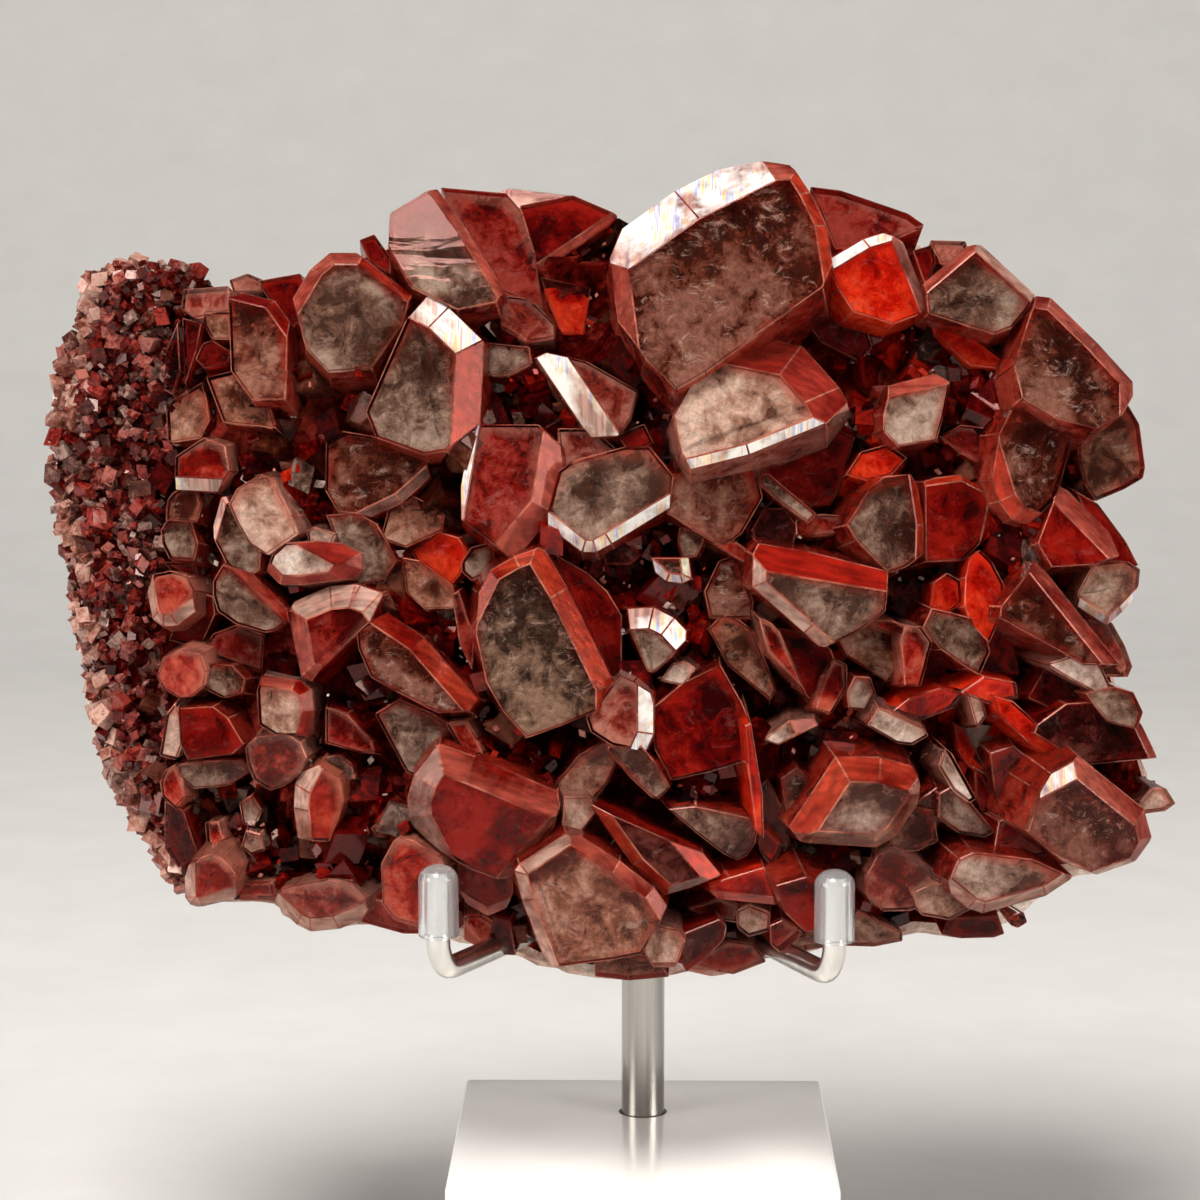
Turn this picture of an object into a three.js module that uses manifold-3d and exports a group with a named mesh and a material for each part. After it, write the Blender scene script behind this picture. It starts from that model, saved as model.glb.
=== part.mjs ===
// Red calcite crystals on matrix, held upright by a wire stand on an acrylic block.
// Millimetres, Z up, the base block's underside centred on the origin, the crystals facing -Y.
import * as THREE from 'three';
import { mergeVertices } from 'three/addons/utils/BufferGeometryUtils.js';
import Module from 'manifold-3d';

const wasm = await Module();
wasm.setup();

// The specimen leans back by LEAN on its stand. In its own frame u runs right, v up the slab and
// w out of it towards the viewer, and FOOT is where u, v and w are zero.
const LEAN = THREE.MathUtils.degToRad(8);
const FOOT = new THREE.Vector3(0, -7.4, 38.15);
const SLAB_FRAME = new THREE.Matrix4().makeBasis(
  new THREE.Vector3(1, 0, 0),
  new THREE.Vector3(0, Math.sin(LEAN), Math.cos(LEAN)),
  new THREE.Vector3(0, -Math.cos(LEAN), Math.sin(LEAN)),
).setPosition(FOOT);

// Outlines are given as they look from the eye on the plane w = SIGHT_PLANE, and each one is
// carried along the line of sight to its own height.
const EYE = new THREE.Vector3(0, -349.5, 124).applyMatrix4(SLAB_FRAME.clone().invert());
const SIGHT_PLANE = 8;

// Heights along w of the rock's front, the crystal bed on it and the crystals' hidden feet.
const GAP = 0.3;
const BED_TOP = 4.6;
const CRYSTAL_FOOT = 1.2;
const MIDDLE = new THREE.Vector2(-4, 42);

// The specimen's outer edge, clockwise from the left.
const EDGE = [
  -62.2, 57, -62, 62.5, -60.9, 66.5, -59.7, 68, -59.2, 73.6, -55, 75.6, -52, 75.5, -48, 75, -45.8, 73.4,
  -41.5, 74, -37, 74.5, -32.5, 76.6, -27.5, 78.4, -26.3, 80.6, -21.8, 83.2, -14.2, 82.8, -7.5, 82.2,
  -2.6, 80.4, 0, 82, 5, 84.6, 9, 86.3, 13, 86.5, 15.2, 86, 17.6, 83.1, 22, 82.4, 27.5, 80.4, 30, 77.8,
  35.2, 77.3, 38.2, 74.6, 40.8, 72.3, 43.3, 71.8, 47.6, 67.4, 51.2, 63.8, 51.4, 58.5, 51.9, 54, 51.6, 52.6,
  48.2, 50.4, 49.6, 47, 51.5, 43.5, 51.2, 40.2, 49.8, 38, 50.8, 33.8, 50.8, 31.6, 53.1, 24.8, 54.1, 21.6,
  54.6, 19.2, 53, 17.4, 53.2, 15.2, 52, 13.2, 48, 11.7, 45, 11.4, 42.2, 9.3, 39, 6.4, 36.5, 5.4, 33, 4.9,
  29.5, 5.2, 26.5, 4.6, 24, 3.8, 20.8, 3.9, 17, 3.3, 14.2, 2.8, 11.2, 1.7, 8.4, 0.7, 4.5, 1, 1, 0.3,
  -3.5, 0, -8, 0.9, -11.2, 1.7, -13.5, 2.9, -18, 4, -22, 4.9, -25, 5, -30, 6, -34, 5.5, -37.2, 6.6,
  -38.8, 8.1, -44.6, 8, -47.3, 8, -48.3, 9.8, -50, 10.5, -51, 13.2, -53.6, 16.6, -55, 19, -57.2, 24,
  -58.2, 29, -59.2, 35, -60.1, 40, -60.3, 43.6, -61.6, 47, -62.3, 52,
];

// The border between the crystals and the fine druse on the left, from top to bottom.
const DRUSE_BORDER = [
  -48.6, 80, -49, 68, -50.6, 57, -51.3, 48, -52.8, 40, -51.6, 33, -51.2, 17, -49.2, 8, -48, 0,
];

// Crystals by hand: the face's height, the outline, and bevels as first edge, last edge, width
// and drop.
const CRYSTALS = [
  // upper left
  [13, [-36.8, 72, -35, 75, -33, 76.7, -30.3, 76.7, -24.4, 72.2, -25.2, 69, -28.5, 64.3, -33, 64,
    -35.4, 66.5], [[0, 2, 1.6, 1.2], [3, 3, 1, 0.8]]],
  [11, [-43.5, 71.8, -42, 72.4, -38.8, 71.6, -37.3, 69.5, -37.4, 64, -37.5, 61, -41, 61, -43.2, 64],
    [[1, 2, 1.2, 0.9]]],
  [8, [-48.2, 72.5, -43.5, 72.9, -43.4, 70.3, -47, 69.6, -48.4, 70.5], []],
  [9, [-46, 70.2, -43.3, 70.2, -43.4, 67.3, -45.3, 67.4, -46.1, 69], []],
  [9.5, [-46.2, 66.8, -45.2, 67.2, -43.2, 66, -43.6, 64.8, -46, 64.2, -46.9, 65.2], []],
  [7, [-43.4, 73.5, -41.5, 74.2, -39.8, 73.5, -40, 72.3, -43, 72.2], []],
  [10, [-45.8, 63.3, -43, 64, -39.5, 61.5, -38.5, 58, -44, 58.6], []],
  [8, [-40.5, 73.4, -36, 74.2, -35, 71, -37, 68], []],
  [12, [-21.8, 83.4, -26.6, 80.5, -26.8, 77, -24.4, 72.8, -19.5, 70.4, -15.5, 71.2, -14.7, 72.6,
    -18.6, 79], [[6, 7, 1, 0.7]]],
  [9, [-21.3, 83.2, -14.5, 82.6, -12, 79.8, -11.5, 76.5, -9.5, 70, -14.8, 72.4, -19, 78.6], []],
  [7, [-13, 81.3, -7.5, 82.4, -2.8, 80.4, -4.2, 79, -11.3, 74.2, -12.8, 76], [[3, 3, 0.8, 0.6]]],
  [4.5, [-16, 82.4, -14.2, 83.1, -7.3, 82.3, -12.5, 80.6], []],
  [8, [-10.8, 73.8, -5.6, 72.7, -6.3, 68, -8.5, 68, -10, 71.2], []],
  [7.5, [-29.8, 77.7, -27.5, 78.6, -26.7, 78.3, -26.6, 76, -24.3, 72.8, -28.8, 75.5], []],
  [15, [-24.9, 69.3, -23.5, 72.5, -20.7, 71, -17, 67.4, -17.4, 59, -20.6, 55.6, -23, 55.2, -28, 57,
    -30, 62, -27, 66.5], [[1, 2, 3, 1.9], [3, 3, 2.6, 2]]],
  [11, [-14.8, 71.9, -12, 71.6, -9.4, 69, -9.4, 67.6, -12.3, 67.2, -14.9, 69], []],
  [11, [-17, 67, -12, 66.5, -11.8, 64.8, -14.4, 63.5, -16, 63.6, -17, 64.8], []],
  [13, [-11.2, 65.5, -8.8, 66.6, -6, 65, -0.2, 63.6, -1.4, 59, -2.7, 57.2, -5.7, 57.4, -10, 63.8],
    [[6, 6, 2.6, 1.7]]],
  // crown and upper middle
  [16, [-3.7, 76, -2, 80.4, 3, 84, 8, 86.5, 13, 86.8, 15.2, 86.2, 17.3, 83, 19, 79.5, 19.6, 75.8,
    18.6, 72.8, 12.5, 68.4, 6.4, 64, 3.4, 62.2, 0, 65.5, -2.9, 70], [[1, 2, 5, 3.4], [3, 3, 3, 2.2],
    [4, 7, 1.2, 1], [14, 14, 1.8, 1.4]]],
  [17.5, [3, 59.5, 5.5, 64, 8.4, 67.5, 12.4, 68.4, 16.5, 67.6, 20.5, 63.2, 22.2, 60, 19, 58.7, 17.9,
    57.2, 4.9, 53.9, 3.8, 55.5], [[3, 5, 4.4, 3.2], [6, 8, 1, 0.8]]],
  [9, [17, 69, 20, 70, 23, 69, 23.8, 66.5, 22.5, 65, 18.5, 67], []],
  [8, [17.3, 83.3, 20.5, 82.9, 27.5, 80.5, 29.2, 79.3, 25, 77.5, 20, 77], []],
  [13, [19, 75.6, 23, 78, 25, 78.6, 27.3, 77.6, 30.1, 70.6, 28.6, 69.9, 26, 68.9, 21.8, 70.2, 20.3,
    72.5], [[0, 1, 1.2, 0.9], [3, 3, 1.4, 1.1]]],
  [13, [29.3, 73.4, 34, 77.4, 35.2, 77.5, 40.8, 72.3, 40.2, 70.8, 38.4, 68.6, 36.4, 67.8, 34, 68.6,
    29.6, 69.9], [[0, 0, 1, 0.8], [2, 2, 1.2, 0.9]]],
  [8, [29.8, 77.7, 33.5, 77.6, 34, 76, 31, 75.3], []],
  [8, [28, 76.6, 30, 77.2, 30.4, 75.5, 29.4, 72.6], []],
  [14, [38.2, 66, 40.3, 70.2, 41, 72.4, 43.4, 72.1, 47.6, 67.5, 51.4, 63.8, 51.4, 61.4, 50, 59.6,
    47, 58, 43, 59.2, 39.4, 61.3], [[2, 5, 1.9, 1.5]]],
  [10, [29.8, 69.5, 32, 69.1, 34.5, 67.6, 37.4, 65.4, 36.8, 64.3, 34, 64.6, 30.3, 67.8], []],
  [14, [25, 59.5, 25.8, 62.6, 30.5, 63.8, 31.9, 62.9, 31.2, 59.3, 30.5, 56.8, 26.5, 56.2, 25, 57.8],
    [[1, 1, 1.3, 1]]],
  // right middle
  [14, [37, 57.5, 38.3, 60, 42, 60.5, 45.3, 59, 44.3, 55.5, 43.9, 52.3, 43, 50.8, 41, 48.8, 40,
    48.1, 38.8, 48.6, 37.4, 50.5, 36.8, 52.5], [[8, 10, 1.5, 1.2]]],
  [10, [45.3, 57.5, 46.5, 60, 50, 61.2, 51.6, 58.5, 52.2, 54, 51.9, 52.5, 50, 51.7, 47.3, 50.1,
    45.9, 52.3, 45.2, 55], []],
  [11, [30.8, 57.2, 33, 58.4, 36.6, 58, 37, 55.5, 36.8, 53.5, 33, 55.5], []],
  [14, [41, 46, 42.8, 50.8, 43.6, 52, 45.2, 51.2, 49.4, 46.9, 49.9, 45, 47, 43.9, 42.5, 43.6], [[3,
    3, 2.4, 1.8]]],
  [10, [45, 51.5, 47.3, 50.2, 50.2, 46.3, 51.5, 43.8, 49, 43], []],
  [11, [45.3, 41, 46.9, 43.9, 50.5, 44.2, 51.7, 43.4, 51.4, 40.3, 50, 38.8, 48.4, 37.4, 45.4, 39.4],
    [[4, 6, 0.9, 0.7]]],
  [15, [36.8, 35.5, 37.2, 39.5, 41, 44.2, 43, 42.2, 50.9, 32.3, 50.4, 31, 48, 32.3, 46, 33.4, 40.5,
    33.2, 38, 33.4], [[3, 3, 1.7, 1.2]]],
  [10, [46, 38.5, 49.3, 37.7, 50.1, 35.5, 51.1, 33.7, 50.4, 32.1, 47.8, 35.3], []],
  [13, [33.4, 39.5, 33.5, 42.5, 34, 44.6, 35, 45.4, 36.3, 44.1, 37.5, 41.8, 37.4, 40, 36.8, 37.5,
    36, 35.7, 34.2, 37.5], []],
  [13.5, [29.1, 37.3, 30, 39.3, 32.2, 38.8, 34, 38.3, 35.4, 37, 36.1, 34.8, 35, 32.3, 33.8, 33, 31,
    35], []],
  [14.5, [26.8, 36, 27.3, 37.5, 28.9, 37.4, 30.1, 35.8, 28.9, 31.2, 27.2, 31.2], []],
  [15, [21.2, 48, 23.4, 51.6, 25, 53, 27.8, 53.3, 28.8, 52, 29.4, 48, 29.3, 44.3, 27.4, 43.6, 26,
    42.5, 22.2, 46.4], [[4, 5, 1, 0.8]]],
  [12, [29.3, 52.5, 31, 53, 33.2, 53.3, 35.7, 52, 36.6, 50.4, 36.1, 48, 34.8, 45.8, 33.2, 44.3,
    29.4, 44.1], [[1, 4, 0.7, 0.6]]],
  [17, [11.5, 44.6, 12.5, 46, 14.6, 45.5, 25.6, 43.7, 25.3, 40, 25.1, 38.4, 23, 37.3, 20, 35, 18.3,
    35.3, 16.8, 36.6, 11.4, 41.4], [[2, 2, 2.6, 2], [8, 10, 1.3, 1]]],
  [14, [3, 52.4, 4.6, 54, 10.3, 55.6, 11.7, 53.5, 12.4, 50.8, 10.2, 47, 8.5, 45.8, 7.5, 46, 5, 47.6,
    2.6, 49.1], []],
  [13, [3.7, 47.7, 6.4, 46.9, 6, 45.7, 5.4, 44.6, 4, 44.5, 3.5, 46], []],
  [11, [11.4, 56.5, 15, 57.4, 20, 58, 22.2, 57, 21, 53.8, 20.3, 51.3, 19.5, 50.2, 17.5, 50, 13, 52,
    11.8, 53.8], []],
  [13.5, [12, 53.1, 13, 53.3, 18, 49.1, 17.1, 48.2, 13.6, 50.8, 12.2, 52], []],
  [12, [11.3, 47.5, 12.5, 49.7, 14.6, 49.7, 16, 47.8, 15.6, 46, 14.8, 45.1, 12, 45], []],
  [12, [15.8, 48.4, 18.5, 49.1, 21.2, 48.9, 21.1, 47.2, 18, 46.8, 15.9, 46.9], []],
  [13.5, [0.8, 44.5, 4.7, 44.5, 5, 42.3, 4, 41.8, 2.3, 42, 1.2, 42.9], [[1, 4, 0.9, 0.6]]],
  [12, [7.8, 44.2, 10.6, 45.2, 11.7, 43.5, 11.4, 40, 12, 38.3, 9.5, 38.2, 6.9, 38.3, 6.3, 41], []],
  [13, [7.4, 45.9, 9.6, 46.2, 11.4, 44.9, 10.5, 44], []],
  [16, [-2.5, 39.2, 1, 39.4, 3.2, 38.3, 4.3, 37.1, 4.3, 35.9, 3, 34.3, 1, 32.6, -0.6, 32.8, -1.4,
    34.5, -1.5, 37], [[0, 2, 2.2, 1.5]]],
  [15, [1.8, 31.7, 3, 33.4, 4.3, 33.7, 5.4, 33, 4.1, 31.2], []],
  [17, [-6, 27.8, -3.4, 31.2, -2.5, 32.2, -1, 31.6, 0.6, 30.3, 1, 28.5, 1, 26, 0.2, 24.2, -3.3,
    24.9, -5.5, 26.3], [[5, 6, 1.6, 1.2]]],
  [15, [0.8, 29.8, 4, 31.4, 6.5, 33.5, 7.8, 33.7, 10.2, 29.5, 11.3, 27, 11.4, 23.2, 7, 22.2, 3.1,
    21, 1.2, 24.5], []],
  [16, [10.5, 27, 11.2, 27.3, 12.4, 20, 12.6, 15.2, 11.8, 16, 10.8, 23], []],
  [12, [8.3, 38.7, 10, 38, 11.6, 36.8, 13, 33, 13.9, 30.8, 12.5, 28.8, 11, 29.3, 8.8, 33.3, 6.4,
    35.3, 6.8, 37.2], []],
  [16, [12, 38.3, 13.3, 37.7, 14.1, 36.9, 16.6, 31, 17.7, 29.9, 17, 29, 14.8, 29, 13, 34.3], []],
  [12, [14, 37.2, 17, 36.7, 19.5, 35, 20.2, 33, 18, 30.8, 17.4, 30, 15.5, 31], []],
  [13, [18, 28.8, 19.6, 28.3, 21.2, 31, 21.2, 33.4, 20, 34, 18.8, 32], []],
  [12, [20.3, 36.3, 23, 37.6, 25.2, 37.7, 27.1, 36.1, 27.1, 34, 25.5, 31.6, 21.3, 34.3], []],
  [13, [21.2, 30.5, 22, 32.2, 23.6, 32.1, 24.2, 30.5, 23.2, 28.6, 21.4, 28.8], []],
  [14.5, [23.8, 38.2, 26, 38, 27.3, 37.4, 27.2, 36.3, 24.5, 37.2], []],
  [9, [30.1, 42.5, 32, 42.7, 32.9, 41.5, 32.7, 38.8, 30.7, 39.6], []],
  // middle left
  [15, [-18.2, 58.4, -11, 58.4, -8.9, 56.3, -8.7, 53.5, -9.4, 49.4, -13.7, 44.3, -19.1, 48.5, -19.2,
    52.5, -18.6, 56], [[3, 4, 2.4, 1.6], [8, 8, 1, 0.8]]],
  [16, [-8.9, 53.6, -7.5, 54.6, -2, 56.1, 0.6, 56.1, 3.1, 53, 2.6, 49.7, -3.4, 46, -5, 45.1, -6.5,
    45.1, -10, 47.8, -10.1, 49], [[5, 8, 1.2, 1]]],
  [12, [-9, 58, -5.5, 58, -3, 56, -4.5, 54.2, -8.5, 54], []],
  [12, [-2.8, 57.3, 0, 58.5, 1, 56.5, -1.5, 55.5], []],
  [12, [-33.2, 58, -28.5, 57.2, -23, 55.4, -22.5, 52.9, -25.4, 50.3, -28.3, 48.9, -32, 49.3, -33.3,
    51.5], [[3, 4, 1, 0.8]]],
  [11.5, [-27.5, 46.5, -26.7, 49.5, -24.3, 51, -22.4, 50.1, -20.9, 49, -21.1, 47.3, -25, 45.6], []],
  [12, [-33.2, 48.9, -30, 49.2, -27.9, 48, -27, 46.5, -25.8, 44.2, -27, 42.3, -29.9, 41.6, -31.5,
    45], []],
  [11, [-24.3, 45.1, -21.5, 47.2, -19.4, 46.6, -18.4, 45, -19.3, 42.8, -20.5, 41.3, -22, 41.6], []],
  [12.5, [-25.2, 44.5, -23.5, 44.2, -20, 41.6, -19.7, 39.3, -23, 39.2, -24.8, 40.9], []],
  [12, [-19.1, 44, -18, 45.6, -16, 46.1, -15.6, 44.5, -16.5, 42.8, -18, 42.1, -19, 43], []],
  [18, [-17.5, 36.5, -17.1, 41, -16.1, 43.1, -13.5, 44.6, -11, 45.5, -10.2, 45.1, -7.9, 41.3, -2.9,
    31.2, -2.9, 29.8, -3.8, 28.7, -8.5, 27, -12, 25.5, -14.7, 28.5, -16.4, 31.5], [[1, 4, 1.2, 0.9],
    [5, 7, 2, 1.5]]],
  [13, [-9.2, 44.8, -6, 43, -3.8, 41, -2.3, 38.5, -2.3, 33, -3, 31.5, -8, 41.5], []],
  [12, [-4.6, 47, -2, 46.3, -0.2, 44.8, -1.5, 43.8, -4, 43.8], []],
  [13, [-20, 40.6, -18.5, 41.7, -17.4, 40, -17.7, 36, -16.5, 32.3, -17.6, 32.2, -19.2, 35.4, -19.7,
    38.5], []],
  [13, [-43.4, 50, -42.6, 51.6, -40.1, 53.2, -39.1, 52.9, -37, 48.8, -36.4, 47, -39.5, 44.8, -41.3,
    46, -42.5, 48], []],
  [11.5, [-45.2, 48, -44.4, 50.9, -43.3, 51, -42, 48.5, -40.1, 46, -40.3, 43.2, -41.5, 42.5, -43.6,
    43.8, -45, 46.5], [[0, 1, 0.9, 0.7]]],
  [9, [-50.5, 47.3, -49.8, 48.4, -47.4, 48.5, -46.6, 46, -47, 44.1, -49.6, 44.3, -50.4, 46], []],
  [10.5, [-49.1, 51.5, -49, 55, -46, 57, -43.8, 56.2, -43.3, 53.5, -44.8, 51.3], [[5, 5, 1.4,
    0.9]]],
  [9, [-49.8, 50.5, -49.2, 51.3, -47, 52, -46.4, 50, -46.9, 48.2, -50, 48.3], []],
  [14, [-39.5, 43, -38.8, 44.8, -37.5, 46, -34, 46.2, -31.3, 45.8, -29.8, 45, -29.6, 43.3, -30.5,
    42.3, -36, 41.6, -38.2, 41.7], [[7, 9, 0.9, 0.8], [4, 6, 2.2, 1.4]]],
  [13, [-35.2, 47.2, -34.5, 47.7, -32.3, 46.9, -32.8, 45.8, -35, 45.8], []],
  [13, [-45, 42, -44, 43.7, -41, 42.7, -37.5, 39.2, -37.1, 37.8, -38.5, 36.8, -39.6, 36.6, -42.6,
    37.5, -44.5, 38.8, -45, 40.5], [[2, 2, 1, 0.7]]],
  [9.5, [-52.2, 40.8, -51.3, 42.7, -49.5, 43.1, -47.7, 42.6, -47, 41, -47.2, 38.8, -49, 37.4, -50.5,
    37.2, -51.7, 38.1], [[5, 8, 1.2, 0.9]]],
  [14, [-37.6, 38.5, -36.3, 41.2, -33.2, 41.5, -31.8, 42.1, -30, 41.6, -27.8, 40.8, -26.9, 39.4,
    -28.6, 37.8, -29.9, 33.2, -31, 30, -34, 30.8, -36.2, 32], [[1, 5, 2.4, 1.7], [0, 0, 1.8, 1.4],
    [9, 11, 2.2, 1.6]]],
  [15, [-30, 36.8, -28, 38.2, -27, 38.7, -25.4, 38.8, -23.2, 36.3, -19, 33.5, -17.4, 31.7, -17.5,
    29.8, -18.3, 28.5, -21.5, 28.3, -25.8, 30.5, -28.5, 32, -29.8, 35], [[3, 5, 1.8, 1.3]]],
  [10, [-50.9, 32, -50.2, 34.1, -48.5, 34.9, -46.4, 34.4, -45.8, 32.5, -46, 31, -47.5, 29.8, -48.5,
    29.7, -50.2, 30.7], []],
  [10, [-46.5, 32.5, -45.5, 33.4, -43, 33.2, -41.6, 31.8, -42, 30.3, -44, 29.8, -46, 30.8], []],
  [12.5, [-40.4, 30.5, -40, 32.1, -36, 31.6, -34.8, 30.6, -34.5, 28.5, -35, 25.8, -36.4, 25.8,
    -38.5, 25.9, -40.2, 27], [[1, 1, 1, 0.8], [2, 4, 1.2, 1]]],
  [9, [-50.6, 23.7, -50.3, 25.5, -49.9, 28, -49, 29.2, -48.5, 28, -48.2, 25, -48.9, 23.3], []],
  [10.5, [-48.6, 28.7, -45, 28.9, -43.4, 27.7, -41.8, 25, -43, 23.9, -47.6, 23.3, -48.4, 25], []],
  [9, [-48.6, 22.8, -46, 23.2, -42, 23.3, -41.2, 22, -43.5, 20.6, -47, 20.3, -48.5, 21.5], []],
  [11.5, [-41.6, 24.6, -40.5, 25.7, -37.4, 26.2, -35.8, 25.1, -35.1, 23.5, -36, 21.8, -37.5, 20.6,
    -39, 20.1, -40.7, 21.2, -41.4, 23], []],
  [9, [-50.5, 21, -50, 22.2, -49.2, 22.7, -48.3, 21.5, -48, 19.4, -49, 18.3, -50.3, 19.5], []],
  [10, [-48.2, 10.3, -47.6, 12.1, -46.3, 13.1, -45.1, 13.5, -44, 13, -42.6, 11.5, -42.5, 9.8, -43.1,
    8.2, -45, 7.8, -46.2, 7.4, -47.6, 7.8, -48.2, 8.6], [[8, 11, 1.5, 1.1]]],
  [11, [-38.7, 8.6, -38, 9.8, -36.5, 10.2, -33, 10.9, -30.7, 10.6, -29.1, 8.9, -28.9, 7.7, -30, 6.3,
    -32, 5.5, -35, 5.2, -36.5, 5.9, -38.2, 7.5], [[7, 10, 1.6, 1.1]]],
  [12, [-36.9, 18, -36.8, 20.5, -36.2, 21.6, -34, 22.7, -31.8, 21.6, -31.3, 19, -32.8, 14.8, -35.5,
    14.9, -36.5, 15], [[8, 8, 2, 1.6], [0, 1, 2, 1.6]]],
  [13, [-28.2, 25.5, -28, 28.2, -25.5, 29.7, -22, 28.2, -20.3, 27.1, -20.3, 25.4, -22, 23.8, -24.1,
    20.8, -24.8, 22.1, -27.6, 23.6], []],
  [12, [-33.2, 28.9, -31, 28.2, -28.4, 25.3, -28, 24, -29.5, 24.1, -33.2, 25.1], []],
  [11, [-33.2, 23.6, -31.8, 23.9, -30.5, 22.8, -30.1, 21.3, -31.8, 21, -33.2, 21.9], []],
  // lower middle
  [16.8, [-24.7, 19, -24, 21.6, -22, 24.2, -20.8, 24.8, -17.5, 23.4, -9.4, 20.6, -8.8, 18.4, -9.5,
    16, -13.6, 11.2, -15, 10.9, -20, 12.7, -21.5, 14, -23.7, 15.3, -24.6, 17], [[3, 4, 2.6, 1.8],
    [12, 13, 2.4, 1.7], [0, 1, 2.4, 1.7], [7, 7, 1.2, 0.9]]],
  [13, [-19.5, 12.9, -16.5, 12.4, -13.6, 11.3, -13.6, 9.4, -14.5, 7.6, -16.3, 6.9, -18.2, 8, -19.5,
    10], [[4, 5, 1.1, 0.8]]],
  [15.9, [-27.4, 12.5, -26.1, 14.9, -25.5, 15.3, -24, 15, -21.4, 13.3, -20.8, 12, -21, 6.4, -23,
    5.8, -26, 6.6, -27.2, 8.3], []],
  [10, [-18.7, 8, -17, 7, -15.5, 7, -15.7, 5, -16.5, 3.5, -18.7, 4.6], []],
  [10, [-15.6, 7, -13.9, 6.7, -13.3, 3, -16, 3.1, -16.4, 4], []],
  [18, [-13.7, 11.3, -12.9, 12.4, -8.2, 15.5, -6, 15, -2.4, 12.7, 1.2, 9.9, 2.6, 8, 1.7, 6.4, 0.1,
    3, -3, 2.6, -8, 1.6, -9.6, 1.8, -11.2, 3.4, -12.6, 8.5], [[3, 5, 1.3, 1], [12, 13, 1.2, 0.9],
    [0, 1, 1.2, 0.9]]],
  [14, [-9.4, 21, -9, 22.7, -6.8, 23.9, -5, 26.2, -2.9, 25.1, -2.3, 22.5, -3.8, 20.8, -5, 18.2,
    -8.5, 19.3], []],
  [15.5, [-8.2, 19.4, -5.8, 19.5, -4.6, 18.2, -7, 15.2, -8.5, 15.1], []],
  [14, [-20.7, 27.2, -18.5, 27.5, -17.4, 25.5, -16.8, 24, -18.5, 23.8, -19.5, 25.2], []],
  [16, [-3.7, 24.8, -0.5, 25.2, 1.4, 23, 2.8, 20.5, 1.5, 19.3, 0.4, 19.6, -1.2, 21.4, -3.8, 23.8],
    []],
  [17, [-5.7, 24, -3.5, 24, 1, 20.2, 6.5, 13.4, 9, 12.3, 8, 10.8, 4, 9.7, 2.5, 9.1, -1, 12.3, -5.2,
    18.2], [[1, 2, 1.8, 1.2], [4, 5, 1, 0.8], [7, 8, 1.2, 1]]],
  [14, [2.6, 18.3, 5.5, 18.6, 11.1, 17.4, 11.9, 16, 11.6, 14.6, 10.8, 13.5, 9.8, 13, 8.4, 13.6, 5.4,
    15.9], []],
  [15, [11.2, 26.4, 12.5, 27.7, 15.2, 27.6, 17, 29, 18.9, 25.8, 16.8, 24, 14, 25, 12.1, 24.1], [[3,
    4, 2.2, 1.2]]],
  [11, [12, 20.7, 14, 22.2, 14.7, 18, 16.2, 15, 15, 13.8, 12.4, 15.3], []],
  [13, [14.3, 21.5, 16, 22.7, 18.2, 21, 18.7, 19.5, 17.5, 16.3, 15.8, 16.8, 14.8, 18.4], []],
  [16.8, [15.5, 16.1, 16.4, 17.6, 20.4, 23.7, 22, 24.4, 25, 23.5, 27.2, 23.5, 28.7, 22, 29, 20.7,
    28.6, 18.3, 26.5, 15.3, 24.5, 14.1, 17.5, 14.5, 16.4, 14.8], [[1, 4, 2.3, 1.6], [5, 6, 1.4, 1],
    [8, 12, 1.6, 1.2]]],
  [12, [12, 16.4, 13, 16.2, 14.5, 14.5, 13.5, 12.3, 12.4, 13.4, 11.9, 15], []],
  [15.8, [13.3, 12.2, 17, 11.3, 20.2, 12.2, 20, 8, 18.6, 5.8, 17, 5.4, 14.9, 7.4, 13.9, 10], []],
  [14, [6.9, 10.5, 9, 11.2, 12.6, 12.3, 13.6, 9.4, 13.9, 8.2, 8, 8.8, 7.1, 9.6], [[4, 4, 0.9,
    0.7]]],
  [11, [4.5, 8, 8, 9, 10, 8.3, 9.7, 6.5, 6, 7, 4.8, 7.5], []],
  [12, [9.8, 7.6, 11, 8.2, 13.2, 7.4, 13.1, 5.6, 11, 5, 9.8, 5.9], []],
  [14, [4.3, 5.4, 8, 6.9, 8.7, 6.1, 8.4, 4.7, 6.5, 2.8, 4.5, 1.3, 3.9, 2.5], []],
  [16, [0.1, 4, 1.1, 6.2, 3.5, 5.7, 4.4, 4.5, 3.4, 1.8, 1.1, 1.8, 0.3, 3], []],
  [12, [13.2, 6.2, 14.5, 6.8, 16.5, 5.6, 16.1, 4.8, 14.3, 3.3, 13.3, 4.2], []],
  // lower right
  [13, [23.3, 11.5, 24.4, 13.6, 26, 14.7, 28, 13.7, 30.1, 12.2, 30.7, 10, 28, 7.8, 25, 7.7, 23.1,
    9.5], []],
  [13, [25.3, 16.5, 28, 18.7, 30.2, 18.2, 30.7, 15, 28.5, 14, 26, 14.1], []],
  [16, [31.8, 10.8, 32.9, 13.2, 35, 14.2, 37.2, 14.7, 40.5, 13.2, 44.8, 12.7, 45, 11.4, 44, 9.7,
    42.2, 9.2, 40.5, 8.1, 39, 7.1, 36, 7.2, 34, 7.9, 32.3, 9.3], [[6, 12, 1.3, 1]]],
  [15, [40, 16, 41.4, 20.1, 43, 22, 46, 23.6, 49.6, 20.6, 52.8, 18, 53.6, 15.1, 53, 13.9, 52, 12.9,
    46.5, 11, 45.2, 11.6, 43.8, 12.8, 41, 13.8], [[2, 3, 1.5, 1], [4, 6, 2, 1.6], [8, 9, 0.9,
    0.8]]],
  [8, [51.8, 19, 53, 20.5, 54.4, 20.6, 55.4, 19, 54.3, 18.2, 52.1, 17.9], []],
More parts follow.
